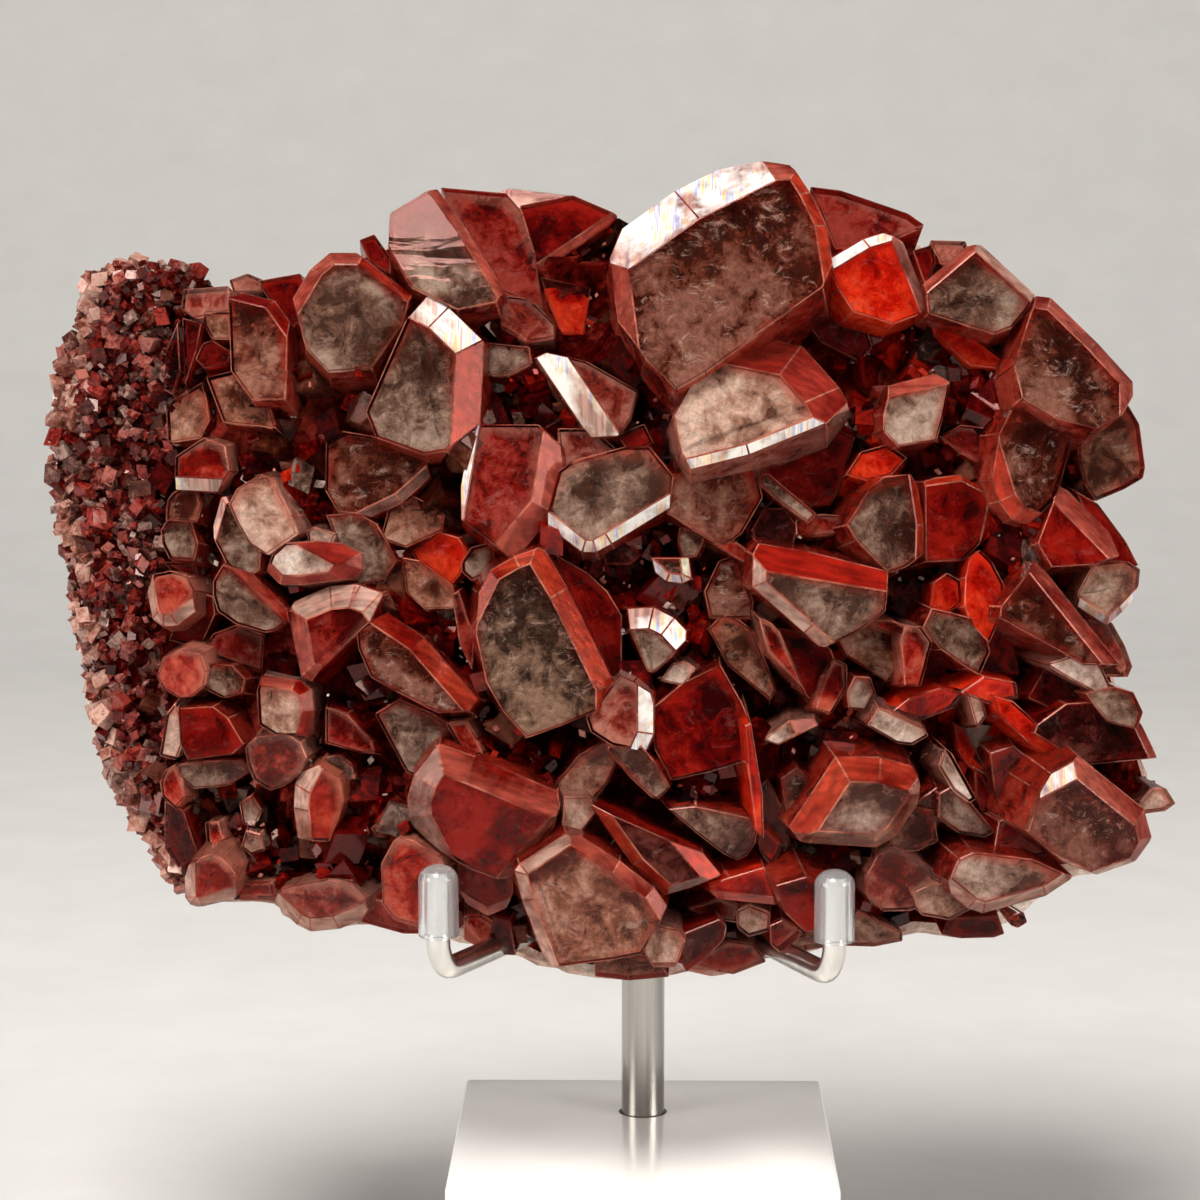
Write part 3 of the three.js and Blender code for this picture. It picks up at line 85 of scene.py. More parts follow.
# Crystals, one by one: colour, the face's height, the outline, and bevels as first edge, last edge,
# width, drop and colour.
crystalList = [
    # upper left
    ("grey", 13, [-36.8, 72, -35, 75, -33, 76.7, -30.3, 76.7, -24.4, 72.2, -25.2, 69, -28.5, 64.3,
        -33, 64, -35.4, 66.5], [(0, 2, 1.6, 1.2, "pink"), (3, 3, 1, 0.8, "orange")]),
    ("greyred", 11, [-43.5, 71.8, -42, 72.4, -38.8, 71.6, -37.3, 69.5, -37.4, 64, -37.5, 61, -41, 61,
        -43.2, 64], [(1, 2, 1.2, 0.9, "red")]),
    ("pink", 8, [-48.2, 72.5, -43.5, 72.9, -43.4, 70.3, -47, 69.6, -48.4, 70.5], []),
    ("tan", 9, [-46, 70.2, -43.3, 70.2, -43.4, 67.3, -45.3, 67.4, -46.1, 69], []),
    ("maroon", 9.5, [-46.2, 66.8, -45.2, 67.2, -43.2, 66, -43.6, 64.8, -46, 64.2, -46.9, 65.2], []),
    ("pink", 7, [-43.4, 73.5, -41.5, 74.2, -39.8, 73.5, -40, 72.3, -43, 72.2], []),
    ("tan", 10, [-45.8, 63.3, -43, 64, -39.5, 61.5, -38.5, 58, -44, 58.6], []),
    ("red", 8, [-40.5, 73.4, -36, 74.2, -35, 71, -37, 68], []),
    ("grey", 12, [-21.8, 83.4, -26.6, 80.5, -26.8, 77, -24.4, 72.8, -19.5, 70.4, -15.5, 71.2, -14.7, 72.6,
        -18.6, 79], [(6, 7, 1, 0.7, "pink")]),
    ("rose", 9, [-21.3, 83.2, -14.5, 82.6, -12, 79.8, -11.5, 76.5, -9.5, 70, -14.8, 72.4, -19, 78.6], []),
    ("red", 7, [-13, 81.3, -7.5, 82.4, -2.8, 80.4, -4.2, 79, -11.3, 74.2, -12.8, 76],
        [(3, 3, 0.8, 0.6, "pink")]),
    ("cream", 4.5, [-16, 82.4, -14.2, 83.1, -7.3, 82.3, -12.5, 80.6], []),
    ("vivid", 8, [-10.8, 73.8, -5.6, 72.7, -6.3, 68, -8.5, 68, -10, 71.2], []),
    ("red", 7.5, [-29.8, 77.7, -27.5, 78.6, -26.7, 78.3, -26.6, 76, -24.3, 72.8, -28.8, 75.5], []),
    ("grey", 15, [-24.9, 69.3, -23.5, 72.5, -20.7, 71, -17, 67.4, -17.4, 59, -20.6, 55.6, -23, 55.2,
        -28, 57, -30, 62, -27, 66.5], [(1, 2, 3, 1.9, "white"), (3, 3, 2.6, 2, "orange")]),
    ("pink", 11, [-14.8, 71.9, -12, 71.6, -9.4, 69, -9.4, 67.6, -12.3, 67.2, -14.9, 69], []),
    ("grey", 11, [-17, 67, -12, 66.5, -11.8, 64.8, -14.4, 63.5, -16, 63.6, -17, 64.8], []),
    ("pink", 13, [-11.2, 65.5, -8.8, 66.6, -6, 65, -0.2, 63.6, -1.4, 59, -2.7, 57.2, -5.7, 57.4,
        -10, 63.8], [(6, 6, 2.6, 1.7, "white")]),
    # crown and upper middle
    ("brown", 16, [-3.7, 76, -2, 80.4, 3, 84, 8, 86.5, 13, 86.8, 15.2, 86.2, 17.3, 83, 19, 79.5,
        19.6, 75.8, 18.6, 72.8, 12.5, 68.4, 6.4, 64, 3.4, 62.2, 0, 65.5, -2.9, 70],
        [(1, 2, 5, 3.4, "white"), (3, 3, 3, 2.2, "pink"), (4, 7, 1.2, 1, "orange"),
        (14, 14, 1.8, 1.4, "pink")]),
    ("cream", 17.5, [3, 59.5, 5.5, 64, 8.4, 67.5, 12.4, 68.4, 16.5, 67.6, 20.5, 63.2, 22.2, 60, 19, 58.7,
        17.9, 57.2, 4.9, 53.9, 3.8, 55.5], [(3, 5, 4.4, 3.2, "rose"), (6, 8, 1, 0.8, "white")]),
    ("maroon", 9, [17, 69, 20, 70, 23, 69, 23.8, 66.5, 22.5, 65, 18.5, 67], []),
    ("rose", 8, [17.3, 83.3, 20.5, 82.9, 27.5, 80.5, 29.2, 79.3, 25, 77.5, 20, 77], []),
    ("vivid", 13, [19, 75.6, 23, 78, 25, 78.6, 27.3, 77.6, 30.1, 70.6, 28.6, 69.9, 26, 68.9, 21.8, 70.2,
        20.3, 72.5], [(0, 1, 1.2, 0.9, "white"), (3, 3, 1.4, 1.1, "grey")]),
    ("grey", 13, [29.3, 73.4, 34, 77.4, 35.2, 77.5, 40.8, 72.3, 40.2, 70.8, 38.4, 68.6, 36.4, 67.8,
        34, 68.6, 29.6, 69.9], [(0, 0, 1, 0.8, "pink"), (2, 2, 1.2, 0.9, "cream")]),
    ("pink", 8, [29.8, 77.7, 33.5, 77.6, 34, 76, 31, 75.3], []),
    ("red", 8, [28, 76.6, 30, 77.2, 30.4, 75.5, 29.4, 72.6], []),
    ("brown", 14, [38.2, 66, 40.3, 70.2, 41, 72.4, 43.4, 72.1, 47.6, 67.5, 51.4, 63.8, 51.4, 61.4,
        50, 59.6, 47, 58, 43, 59.2, 39.4, 61.3], [(2, 5, 1.9, 1.5, "pink")]),
    ("vivid", 10, [29.8, 69.5, 32, 69.1, 34.5, 67.6, 37.4, 65.4, 36.8, 64.3, 34, 64.6, 30.3, 67.8], []),
    ("pale", 14, [25, 59.5, 25.8, 62.6, 30.5, 63.8, 31.9, 62.9, 31.2, 59.3, 30.5, 56.8, 26.5, 56.2,
        25, 57.8], [(1, 1, 1.3, 1, "pink")]),
    # right middle
    ("brown", 14, [37, 57.5, 38.3, 60, 42, 60.5, 45.3, 59, 44.3, 55.5, 43.9, 52.3, 43, 50.8, 41, 48.8,
        40, 48.1, 38.8, 48.6, 37.4, 50.5, 36.8, 52.5], [(8, 10, 1.5, 1.2, "orange")]),
    ("tan", 10, [45.3, 57.5, 46.5, 60, 50, 61.2, 51.6, 58.5, 52.2, 54, 51.9, 52.5, 50, 51.7, 47.3, 50.1,
        45.9, 52.3, 45.2, 55], []),
    ("rose", 11, [30.8, 57.2, 33, 58.4, 36.6, 58, 37, 55.5, 36.8, 53.5, 33, 55.5], []),
    ("red", 14, [41, 46, 42.8, 50.8, 43.6, 52, 45.2, 51.2, 49.4, 46.9, 49.9, 45, 47, 43.9, 42.5, 43.6],
        [(3, 3, 2.4, 1.8, "pink")]),
    ("red", 10, [45, 51.5, 47.3, 50.2, 50.2, 46.3, 51.5, 43.8, 49, 43], []),
    ("cream", 11, [45.3, 41, 46.9, 43.9, 50.5, 44.2, 51.7, 43.4, 51.4, 40.3, 50, 38.8, 48.4, 37.4,
        45.4, 39.4], [(4, 6, 0.9, 0.7, "white")]),
    ("brown", 15, [36.8, 35.5, 37.2, 39.5, 41, 44.2, 43, 42.2, 50.9, 32.3, 50.4, 31, 48, 32.3, 46, 33.4,
        40.5, 33.2, 38, 33.4], [(3, 3, 1.7, 1.2, "pink")]),
    ("pink", 10, [46, 38.5, 49.3, 37.7, 50.1, 35.5, 51.1, 33.7, 50.4, 32.1, 47.8, 35.3], []),
    ("vivid", 13, [33.4, 39.5, 33.5, 42.5, 34, 44.6, 35, 45.4, 36.3, 44.1, 37.5, 41.8, 37.4, 40,
        36.8, 37.5, 36, 35.7, 34.2, 37.5], []),
    ("grey", 13.5, [29.1, 37.3, 30, 39.3, 32.2, 38.8, 34, 38.3, 35.4, 37, 36.1, 34.8, 35, 32.3, 33.8, 33,
        31, 35], []),
    ("coral", 14.5, [26.8, 36, 27.3, 37.5, 28.9, 37.4, 30.1, 35.8, 28.9, 31.2, 27.2, 31.2], []),
    ("grey", 15, [21.2, 48, 23.4, 51.6, 25, 53, 27.8, 53.3, 28.8, 52, 29.4, 48, 29.3, 44.3, 27.4, 43.6,
        26, 42.5, 22.2, 46.4], [(4, 5, 1, 0.8, "orange")]),
    ("red", 12, [29.3, 52.5, 31, 53, 33.2, 53.3, 35.7, 52, 36.6, 50.4, 36.1, 48, 34.8, 45.8, 33.2, 44.3,
        29.4, 44.1], [(1, 4, 0.7, 0.6, "orange")]),
    ("pale", 17, [11.5, 44.6, 12.5, 46, 14.6, 45.5, 25.6, 43.7, 25.3, 40, 25.1, 38.4, 23, 37.3, 20, 35,
        18.3, 35.3, 16.8, 36.6, 11.4, 41.4], [(2, 2, 2.6, 2, "red"), (8, 10, 1.3, 1, "cream")]),
    ("greyred", 14, [3, 52.4, 4.6, 54, 10.3, 55.6, 11.7, 53.5, 12.4, 50.8, 10.2, 47, 8.5, 45.8, 7.5, 46,
        5, 47.6, 2.6, 49.1], []),
    ("grey", 13, [3.7, 47.7, 6.4, 46.9, 6, 45.7, 5.4, 44.6, 4, 44.5, 3.5, 46], []),
    ("red", 11, [11.4, 56.5, 15, 57.4, 20, 58, 22.2, 57, 21, 53.8, 20.3, 51.3, 19.5, 50.2, 17.5, 50,
        13, 52, 11.8, 53.8], []),
    ("grey", 13.5, [12, 53.1, 13, 53.3, 18, 49.1, 17.1, 48.2, 13.6, 50.8, 12.2, 52], []),
    ("dark", 12, [11.3, 47.5, 12.5, 49.7, 14.6, 49.7, 16, 47.8, 15.6, 46, 14.8, 45.1, 12, 45], []),
    ("coral", 12, [15.8, 48.4, 18.5, 49.1, 21.2, 48.9, 21.1, 47.2, 18, 46.8, 15.9, 46.9], []),
    ("grey", 13.5, [0.8, 44.5, 4.7, 44.5, 5, 42.3, 4, 41.8, 2.3, 42, 1.2, 42.9],
        [(1, 4, 0.9, 0.6, "white")]),
    ("brown", 12, [7.8, 44.2, 10.6, 45.2, 11.7, 43.5, 11.4, 40, 12, 38.3, 9.5, 38.2, 6.9, 38.3,
        6.3, 41], []),
    ("coral", 13, [7.4, 45.9, 9.6, 46.2, 11.4, 44.9, 10.5, 44], []),
    ("grey", 16, [-2.5, 39.2, 1, 39.4, 3.2, 38.3, 4.3, 37.1, 4.3, 35.9, 3, 34.3, 1, 32.6, -0.6, 32.8,
        -1.4, 34.5, -1.5, 37], [(0, 2, 2.2, 1.5, "white")]),
    ("white", 15, [1.8, 31.7, 3, 33.4, 4.3, 33.7, 5.4, 33, 4.1, 31.2], []),
    ("pink", 17, [-6, 27.8, -3.4, 31.2, -2.5, 32.2, -1, 31.6, 0.6, 30.3, 1, 28.5, 1, 26, 0.2, 24.2,
        -3.3, 24.9, -5.5, 26.3], [(5, 6, 1.6, 1.2, "white")]),
    ("red", 15, [0.8, 29.8, 4, 31.4, 6.5, 33.5, 7.8, 33.7, 10.2, 29.5, 11.3, 27, 11.4, 23.2, 7, 22.2,
        3.1, 21, 1.2, 24.5], []),
    ("vivid", 16, [10.5, 27, 11.2, 27.3, 12.4, 20, 12.6, 15.2, 11.8, 16, 10.8, 23], []),
    ("tan", 12, [8.3, 38.7, 10, 38, 11.6, 36.8, 13, 33, 13.9, 30.8, 12.5, 28.8, 11, 29.3, 8.8, 33.3,
        6.4, 35.3, 6.8, 37.2], []),
    ("coral", 16, [12, 38.3, 13.3, 37.7, 14.1, 36.9, 16.6, 31, 17.7, 29.9, 17, 29, 14.8, 29,
        13, 34.3], []),
    ("red", 12, [14, 37.2, 17, 36.7, 19.5, 35, 20.2, 33, 18, 30.8, 17.4, 30, 15.5, 31], []),
    ("coral", 13, [18, 28.8, 19.6, 28.3, 21.2, 31, 21.2, 33.4, 20, 34, 18.8, 32], []),
    ("tan", 12, [20.3, 36.3, 23, 37.6, 25.2, 37.7, 27.1, 36.1, 27.1, 34, 25.5, 31.6, 21.3, 34.3], []),
    ("grey", 13, [21.2, 30.5, 22, 32.2, 23.6, 32.1, 24.2, 30.5, 23.2, 28.6, 21.4, 28.8], []),
    ("coral", 14.5, [23.8, 38.2, 26, 38, 27.3, 37.4, 27.2, 36.3, 24.5, 37.2], []),
    ("vivid", 9, [30.1, 42.5, 32, 42.7, 32.9, 41.5, 32.7, 38.8, 30.7, 39.6], []),
    # middle left
    ("rose", 15, [-18.2, 58.4, -11, 58.4, -8.9, 56.3, -8.7, 53.5, -9.4, 49.4, -13.7, 44.3, -19.1, 48.5,
        -19.2, 52.5, -18.6, 56], [(3, 4, 2.4, 1.6, "pink"), (8, 8, 1, 0.8, "white")]),
    ("pale", 16, [-8.9, 53.6, -7.5, 54.6, -2, 56.1, 0.6, 56.1, 3.1, 53, 2.6, 49.7, -3.4, 46, -5, 45.1,
        -6.5, 45.1, -10, 47.8, -10.1, 49], [(5, 8, 1.2, 1, "white")]),
    ("pink", 12, [-9, 58, -5.5, 58, -3, 56, -4.5, 54.2, -8.5, 54], []),
    ("red", 12, [-2.8, 57.3, 0, 58.5, 1, 56.5, -1.5, 55.5], []),
    ("brown", 12, [-33.2, 58, -28.5, 57.2, -23, 55.4, -22.5, 52.9, -25.4, 50.3, -28.3, 48.9, -32, 49.3,
        -33.3, 51.5], [(3, 4, 1, 0.8, "grey")]),
    ("tan", 11.5, [-27.5, 46.5, -26.7, 49.5, -24.3, 51, -22.4, 50.1, -20.9, 49, -21.1, 47.3,
        -25, 45.6], []),
    ("grey", 12, [-33.2, 48.9, -30, 49.2, -27.9, 48, -27, 46.5, -25.8, 44.2, -27, 42.3, -29.9, 41.6,
        -31.5, 45], []),
    ("vivid", 11, [-24.3, 45.1, -21.5, 47.2, -19.4, 46.6, -18.4, 45, -19.3, 42.8, -20.5, 41.3,
        -22, 41.6], []),
    ("tan", 12.5, [-25.2, 44.5, -23.5, 44.2, -20, 41.6, -19.7, 39.3, -23, 39.2, -24.8, 40.9], []),
    ("grey", 12, [-19.1, 44, -18, 45.6, -16, 46.1, -15.6, 44.5, -16.5, 42.8, -18, 42.1, -19, 43], []),
    ("olive", 18, [-17.5, 36.5, -17.1, 41, -16.1, 43.1, -13.5, 44.6, -11, 45.5, -10.2, 45.1, -7.9, 41.3,
        -2.9, 31.2, -2.9, 29.8, -3.8, 28.7, -8.5, 27, -12, 25.5, -14.7, 28.5, -16.4, 31.5],
        [(1, 4, 1.2, 0.9, "orange"), (5, 7, 2, 1.5, "orange")]),
    ("red", 13, [-9.2, 44.8, -6, 43, -3.8, 41, -2.3, 38.5, -2.3, 33, -3, 31.5, -8, 41.5], []),
    ("dark", 12, [-4.6, 47, -2, 46.3, -0.2, 44.8, -1.5, 43.8, -4, 43.8], []),
    ("rose", 13, [-20, 40.6, -18.5, 41.7, -17.4, 40, -17.7, 36, -16.5, 32.3, -17.6, 32.2, -19.2, 35.4,
        -19.7, 38.5], []),
    ("cream", 13, [-43.4, 50, -42.6, 51.6, -40.1, 53.2, -39.1, 52.9, -37, 48.8, -36.4, 47, -39.5, 44.8,
        -41.3, 46, -42.5, 48], []),
    ("grey", 11.5, [-45.2, 48, -44.4, 50.9, -43.3, 51, -42, 48.5, -40.1, 46, -40.3, 43.2, -41.5, 42.5,
        -43.6, 43.8, -45, 46.5], [(0, 1, 0.9, 0.7, "white")]),
    ("grey", 9, [-50.5, 47.3, -49.8, 48.4, -47.4, 48.5, -46.6, 46, -47, 44.1, -49.6, 44.3,
        -50.4, 46], []),
    ("coral", 10.5, [-49.1, 51.5, -49, 55, -46, 57, -43.8, 56.2, -43.3, 53.5, -44.8, 51.3],
        [(5, 5, 1.4, 0.9, "white")]),
    ("tan", 9, [-49.8, 50.5, -49.2, 51.3, -47, 52, -46.4, 50, -46.9, 48.2, -50, 48.3], []),
    ("white", 14, [-39.5, 43, -38.8, 44.8, -37.5, 46, -34, 46.2, -31.3, 45.8, -29.8, 45, -29.6, 43.3,
        -30.5, 42.3, -36, 41.6, -38.2, 41.7], [(7, 9, 0.9, 0.8, "pink"), (4, 6, 2.2, 1.4, "rose")]),
    ("white", 13, [-35.2, 47.2, -34.5, 47.7, -32.3, 46.9, -32.8, 45.8, -35, 45.8], []),
    ("grey", 13, [-45, 42, -44, 43.7, -41, 42.7, -37.5, 39.2, -37.1, 37.8, -38.5, 36.8, -39.6, 36.6,
        -42.6, 37.5, -44.5, 38.8, -45, 40.5], [(2, 2, 1, 0.7, "pink")]),
    ("coral", 9.5, [-52.2, 40.8, -51.3, 42.7, -49.5, 43.1, -47.7, 42.6, -47, 41, -47.2, 38.8, -49, 37.4,
        -50.5, 37.2, -51.7, 38.1], [(5, 8, 1.2, 0.9, "cream")]),
    ("rose", 14, [-37.6, 38.5, -36.3, 41.2, -33.2, 41.5, -31.8, 42.1, -30, 41.6, -27.8, 40.8, -26.9, 39.4,
        -28.6, 37.8, -29.9, 33.2, -31, 30, -34, 30.8, -36.2, 32], [(1, 5, 2.4, 1.7, "cream"),
        (0, 0, 1.8, 1.4, "pink"), (9, 11, 2.2, 1.6, "pink")]),
    ("brown", 15, [-30, 36.8, -28, 38.2, -27, 38.7, -25.4, 38.8, -23.2, 36.3, -19, 33.5, -17.4, 31.7,
        -17.5, 29.8, -18.3, 28.5, -21.5, 28.3, -25.8, 30.5, -28.5, 32, -29.8, 35],
        [(3, 5, 1.8, 1.3, "coral")]),
    ("coral", 10, [-50.9, 32, -50.2, 34.1, -48.5, 34.9, -46.4, 34.4, -45.8, 32.5, -46, 31, -47.5, 29.8,
        -48.5, 29.7, -50.2, 30.7], []),
    ("grey", 10, [-46.5, 32.5, -45.5, 33.4, -43, 33.2, -41.6, 31.8, -42, 30.3, -44, 29.8, -46, 30.8], []),
    ("cream", 12.5, [-40.4, 30.5, -40, 32.1, -36, 31.6, -34.8, 30.6, -34.5, 28.5, -35, 25.8, -36.4, 25.8,
        -38.5, 25.9, -40.2, 27], [(1, 1, 1, 0.8, "pink"), (2, 4, 1.2, 1, "red")]),
    ("cream", 9, [-50.6, 23.7, -50.3, 25.5, -49.9, 28, -49, 29.2, -48.5, 28, -48.2, 25, -48.9, 23.3], []),
    ("red", 10.5, [-48.6, 28.7, -45, 28.9, -43.4, 27.7, -41.8, 25, -43, 23.9, -47.6, 23.3,
        -48.4, 25], []),
    ("grey", 9, [-48.6, 22.8, -46, 23.2, -42, 23.3, -41.2, 22, -43.5, 20.6, -47, 20.3, -48.5, 21.5], []),
    ("pink", 11.5, [-41.6, 24.6, -40.5, 25.7, -37.4, 26.2, -35.8, 25.1, -35.1, 23.5, -36, 21.8,
        -37.5, 20.6, -39, 20.1, -40.7, 21.2, -41.4, 23], []),
    ("coral", 9, [-50.5, 21, -50, 22.2, -49.2, 22.7, -48.3, 21.5, -48, 19.4, -49, 18.3, -50.3, 19.5], []),
    ("coral", 10, [-48.2, 10.3, -47.6, 12.1, -46.3, 13.1, -45.1, 13.5, -44, 13, -42.6, 11.5, -42.5, 9.8,
        -43.1, 8.2, -45, 7.8, -46.2, 7.4, -47.6, 7.8, -48.2, 8.6], [(8, 11, 1.5, 1.1, "cream")]),
    ("pink", 11, [-38.7, 8.6, -38, 9.8, -36.5, 10.2, -33, 10.9, -30.7, 10.6, -29.1, 8.9, -28.9, 7.7,
        -30, 6.3, -32, 5.5, -35, 5.2, -36.5, 5.9, -38.2, 7.5], [(7, 10, 1.6, 1.1, "cream")]),
    ("orange", 12, [-36.9, 18, -36.8, 20.5, -36.2, 21.6, -34, 22.7, -31.8, 21.6, -31.3, 19, -32.8, 14.8,
        -35.5, 14.9, -36.5, 15], [(8, 8, 2, 1.6, "cream"), (0, 1, 2, 1.6, "cream")]),
    ("grey", 13, [-28.2, 25.5, -28, 28.2, -25.5, 29.7, -22, 28.2, -20.3, 27.1, -20.3, 25.4, -22, 23.8,
        -24.1, 20.8, -24.8, 22.1, -27.6, 23.6], []),
    ("rose", 12, [-33.2, 28.9, -31, 28.2, -28.4, 25.3, -28, 24, -29.5, 24.1, -33.2, 25.1], []),
    ("grey", 11, [-33.2, 23.6, -31.8, 23.9, -30.5, 22.8, -30.1, 21.3, -31.8, 21, -33.2, 21.9], []),
    # lower middle
    ("red", 16.8, [-24.7, 19, -24, 21.6, -22, 24.2, -20.8, 24.8, -17.5, 23.4, -9.4, 20.6, -8.8, 18.4,
        -9.5, 16, -13.6, 11.2, -15, 10.9, -20, 12.7, -21.5, 14, -23.7, 15.3, -24.6, 17],
        [(3, 4, 2.6, 1.8, "pink"), (12, 13, 2.4, 1.7, "grey"), (0, 1, 2.4, 1.7, "grey"),
        (7, 7, 1.2, 0.9, "brown")]),
    ("red", 13, [-19.5, 12.9, -16.5, 12.4, -13.6, 11.3, -13.6, 9.4, -14.5, 7.6, -16.3, 6.9, -18.2, 8,
        -19.5, 10], [(4, 5, 1.1, 0.8, "pink")]),
    ("coral", 15.9, [-27.4, 12.5, -26.1, 14.9, -25.5, 15.3, -24, 15, -21.4, 13.3, -20.8, 12, -21, 6.4,
        -23, 5.8, -26, 6.6, -27.2, 8.3], []),
    ("coral", 10, [-18.7, 8, -17, 7, -15.5, 7, -15.7, 5, -16.5, 3.5, -18.7, 4.6], []),
    ("maroon", 10, [-15.6, 7, -13.9, 6.7, -13.3, 3, -16, 3.1, -16.4, 4], []),
    ("tan", 18, [-13.7, 11.3, -12.9, 12.4, -8.2, 15.5, -6, 15, -2.4, 12.7, 1.2, 9.9, 2.6, 8, 1.7, 6.4,
        0.1, 3, -3, 2.6, -8, 1.6, -9.6, 1.8, -11.2, 3.4, -12.6, 8.5], [(3, 5, 1.3, 1, "pink"),
        (12, 13, 1.2, 0.9, "cream"), (0, 1, 1.2, 0.9, "cream")]),
    ("tan", 14, [-9.4, 21, -9, 22.7, -6.8, 23.9, -5, 26.2, -2.9, 25.1, -2.3, 22.5, -3.8, 20.8, -5, 18.2,
        -8.5, 19.3], []),
    ("cream", 15.5, [-8.2, 19.4, -5.8, 19.5, -4.6, 18.2, -7, 15.2, -8.5, 15.1], []),
    ("coral", 14, [-20.7, 27.2, -18.5, 27.5, -17.4, 25.5, -16.8, 24, -18.5, 23.8, -19.5, 25.2], []),
    ("grey", 16, [-3.7, 24.8, -0.5, 25.2, 1.4, 23, 2.8, 20.5, 1.5, 19.3, 0.4, 19.6, -1.2, 21.4,
        -3.8, 23.8], []),
    ("dark", 17, [-5.7, 24, -3.5, 24, 1, 20.2, 6.5, 13.4, 9, 12.3, 8, 10.8, 4, 9.7, 2.5, 9.1, -1, 12.3,
        -5.2, 18.2], [(1, 2, 1.8, 1.2, "vivid"), (4, 5, 1, 0.8, "grey"), (7, 8, 1.2, 1, "coral")]),
    ("grey", 14, [2.6, 18.3, 5.5, 18.6, 11.1, 17.4, 11.9, 16, 11.6, 14.6, 10.8, 13.5, 9.8, 13, 8.4, 13.6,
        5.4, 15.9], []),
    ("white", 15, [11.2, 26.4, 12.5, 27.7, 15.2, 27.6, 17, 29, 18.9, 25.8, 16.8, 24, 14, 25, 12.1, 24.1],
        [(3, 4, 2.2, 1.2, "pink")]),
    ("maroon", 11, [12, 20.7, 14, 22.2, 14.7, 18, 16.2, 15, 15, 13.8, 12.4, 15.3], []),
    ("brown", 13, [14.3, 21.5, 16, 22.7, 18.2, 21, 18.7, 19.5, 17.5, 16.3, 15.8, 16.8, 14.8, 18.4], []),
    ("pale", 16.8, [15.5, 16.1, 16.4, 17.6, 20.4, 23.7, 22, 24.4, 25, 23.5, 27.2, 23.5, 28.7, 22,
        29, 20.7, 28.6, 18.3, 26.5, 15.3, 24.5, 14.1, 17.5, 14.5, 16.4, 14.8], [(1, 4, 2.3, 1.6, "coral"),
        (5, 6, 1.4, 1, "cream"), (8, 12, 1.6, 1.2, "brown")]),
    ("vivid", 12, [12, 16.4, 13, 16.2, 14.5, 14.5, 13.5, 12.3, 12.4, 13.4, 11.9, 15], []),
    ("red", 15.8, [13.3, 12.2, 17, 11.3, 20.2, 12.2, 20, 8, 18.6, 5.8, 17, 5.4, 14.9, 7.4, 13.9, 10], []),
    ("vivid", 14, [6.9, 10.5, 9, 11.2, 12.6, 12.3, 13.6, 9.4, 13.9, 8.2, 8, 8.8, 7.1, 9.6],
        [(4, 4, 0.9, 0.7, "pink")]),
    ("rose", 11, [4.5, 8, 8, 9, 10, 8.3, 9.7, 6.5, 6, 7, 4.8, 7.5], []),
    ("cream", 12, [9.8, 7.6, 11, 8.2, 13.2, 7.4, 13.1, 5.6, 11, 5, 9.8, 5.9], []),
    ("dark", 14, [4.3, 5.4, 8, 6.9, 8.7, 6.1, 8.4, 4.7, 6.5, 2.8, 4.5, 1.3, 3.9, 2.5], []),
    ("cream", 16, [0.1, 4, 1.1, 6.2, 3.5, 5.7, 4.4, 4.5, 3.4, 1.8, 1.1, 1.8, 0.3, 3], []),
    ("rose", 12, [13.2, 6.2, 14.5, 6.8, 16.5, 5.6, 16.1, 4.8, 14.3, 3.3, 13.3, 4.2], []),
    # lower right
    ("pink", 13, [23.3, 11.5, 24.4, 13.6, 26, 14.7, 28, 13.7, 30.1, 12.2, 30.7, 10, 28, 7.8, 25, 7.7,
        23.1, 9.5], []),
    ("brown", 13, [25.3, 16.5, 28, 18.7, 30.2, 18.2, 30.7, 15, 28.5, 14, 26, 14.1], []),
    ("pale", 16, [31.8, 10.8, 32.9, 13.2, 35, 14.2, 37.2, 14.7, 40.5, 13.2, 44.8, 12.7, 45, 11.4, 44, 9.7,
        42.2, 9.2, 40.5, 8.1, 39, 7.1, 36, 7.2, 34, 7.9, 32.3, 9.3], [(6, 12, 1.3, 1, "cream")]),
    ("brown", 15, [40, 16, 41.4, 20.1, 43, 22, 46, 23.6, 49.6, 20.6, 52.8, 18, 53.6, 15.1, 53, 13.9,
        52, 12.9, 46.5, 11, 45.2, 11.6, 43.8, 12.8, 41, 13.8], [(2, 3, 1.5, 1, "white"),
        (4, 6, 2, 1.6, "pink"), (8, 9, 0.9, 0.8, "cream")]),
    ("cream", 8, [51.8, 19, 53, 20.5, 54.4, 20.6, 55.4, 19, 54.3, 18.2, 52.1, 17.9], []),
    ("dark", 12, [40, 24.5, 41, 27.2, 44, 29.4, 47, 29.6, 50.3, 29.5, 52, 27.5, 53.4, 24.6, 54.4, 22.2,
        54.2, 20.6, 50, 20.5, 46, 23, 43, 22.7], [(5, 7, 1.1, 0.8, "pink")]),
    ("grey", 13, [46, 30.5, 49, 31.2, 51, 30.6, 52, 28.5, 51.4, 26.8, 48.5, 27.5], []),
    ("maroon", 11, [40, 30, 42, 33.5, 46, 33.8, 49, 31, 47, 28.9, 43, 28.6], []),
    ("white", 13.5, [41.8, 33.4, 44.5, 34.2, 46.4, 34.5, 47.7, 33.2, 49, 30.4, 47.5, 30, 44, 32.2], []),
    ("vivid", 9, [36, 30.1, 38, 29.3, 41.1, 27.2, 44.2, 23.4, 43, 22.3, 40.4, 26.2, 36.2, 28.8], []),
    ("vivid", 10, [32.8, 31.9, 35, 31.8, 39.2, 31, 39.2, 29.8, 36, 29.2, 34, 30.6], []),
    ("vivid", 9, [32.4, 27.3, 33.4, 26.8, 35.7, 22.4, 34, 22.7, 32.8, 24.5], []),
    ("vivid", 9.5, [25.5, 29.5, 27, 29.8, 31, 31, 32.7, 29, 30, 28.2, 27, 28.3], []),
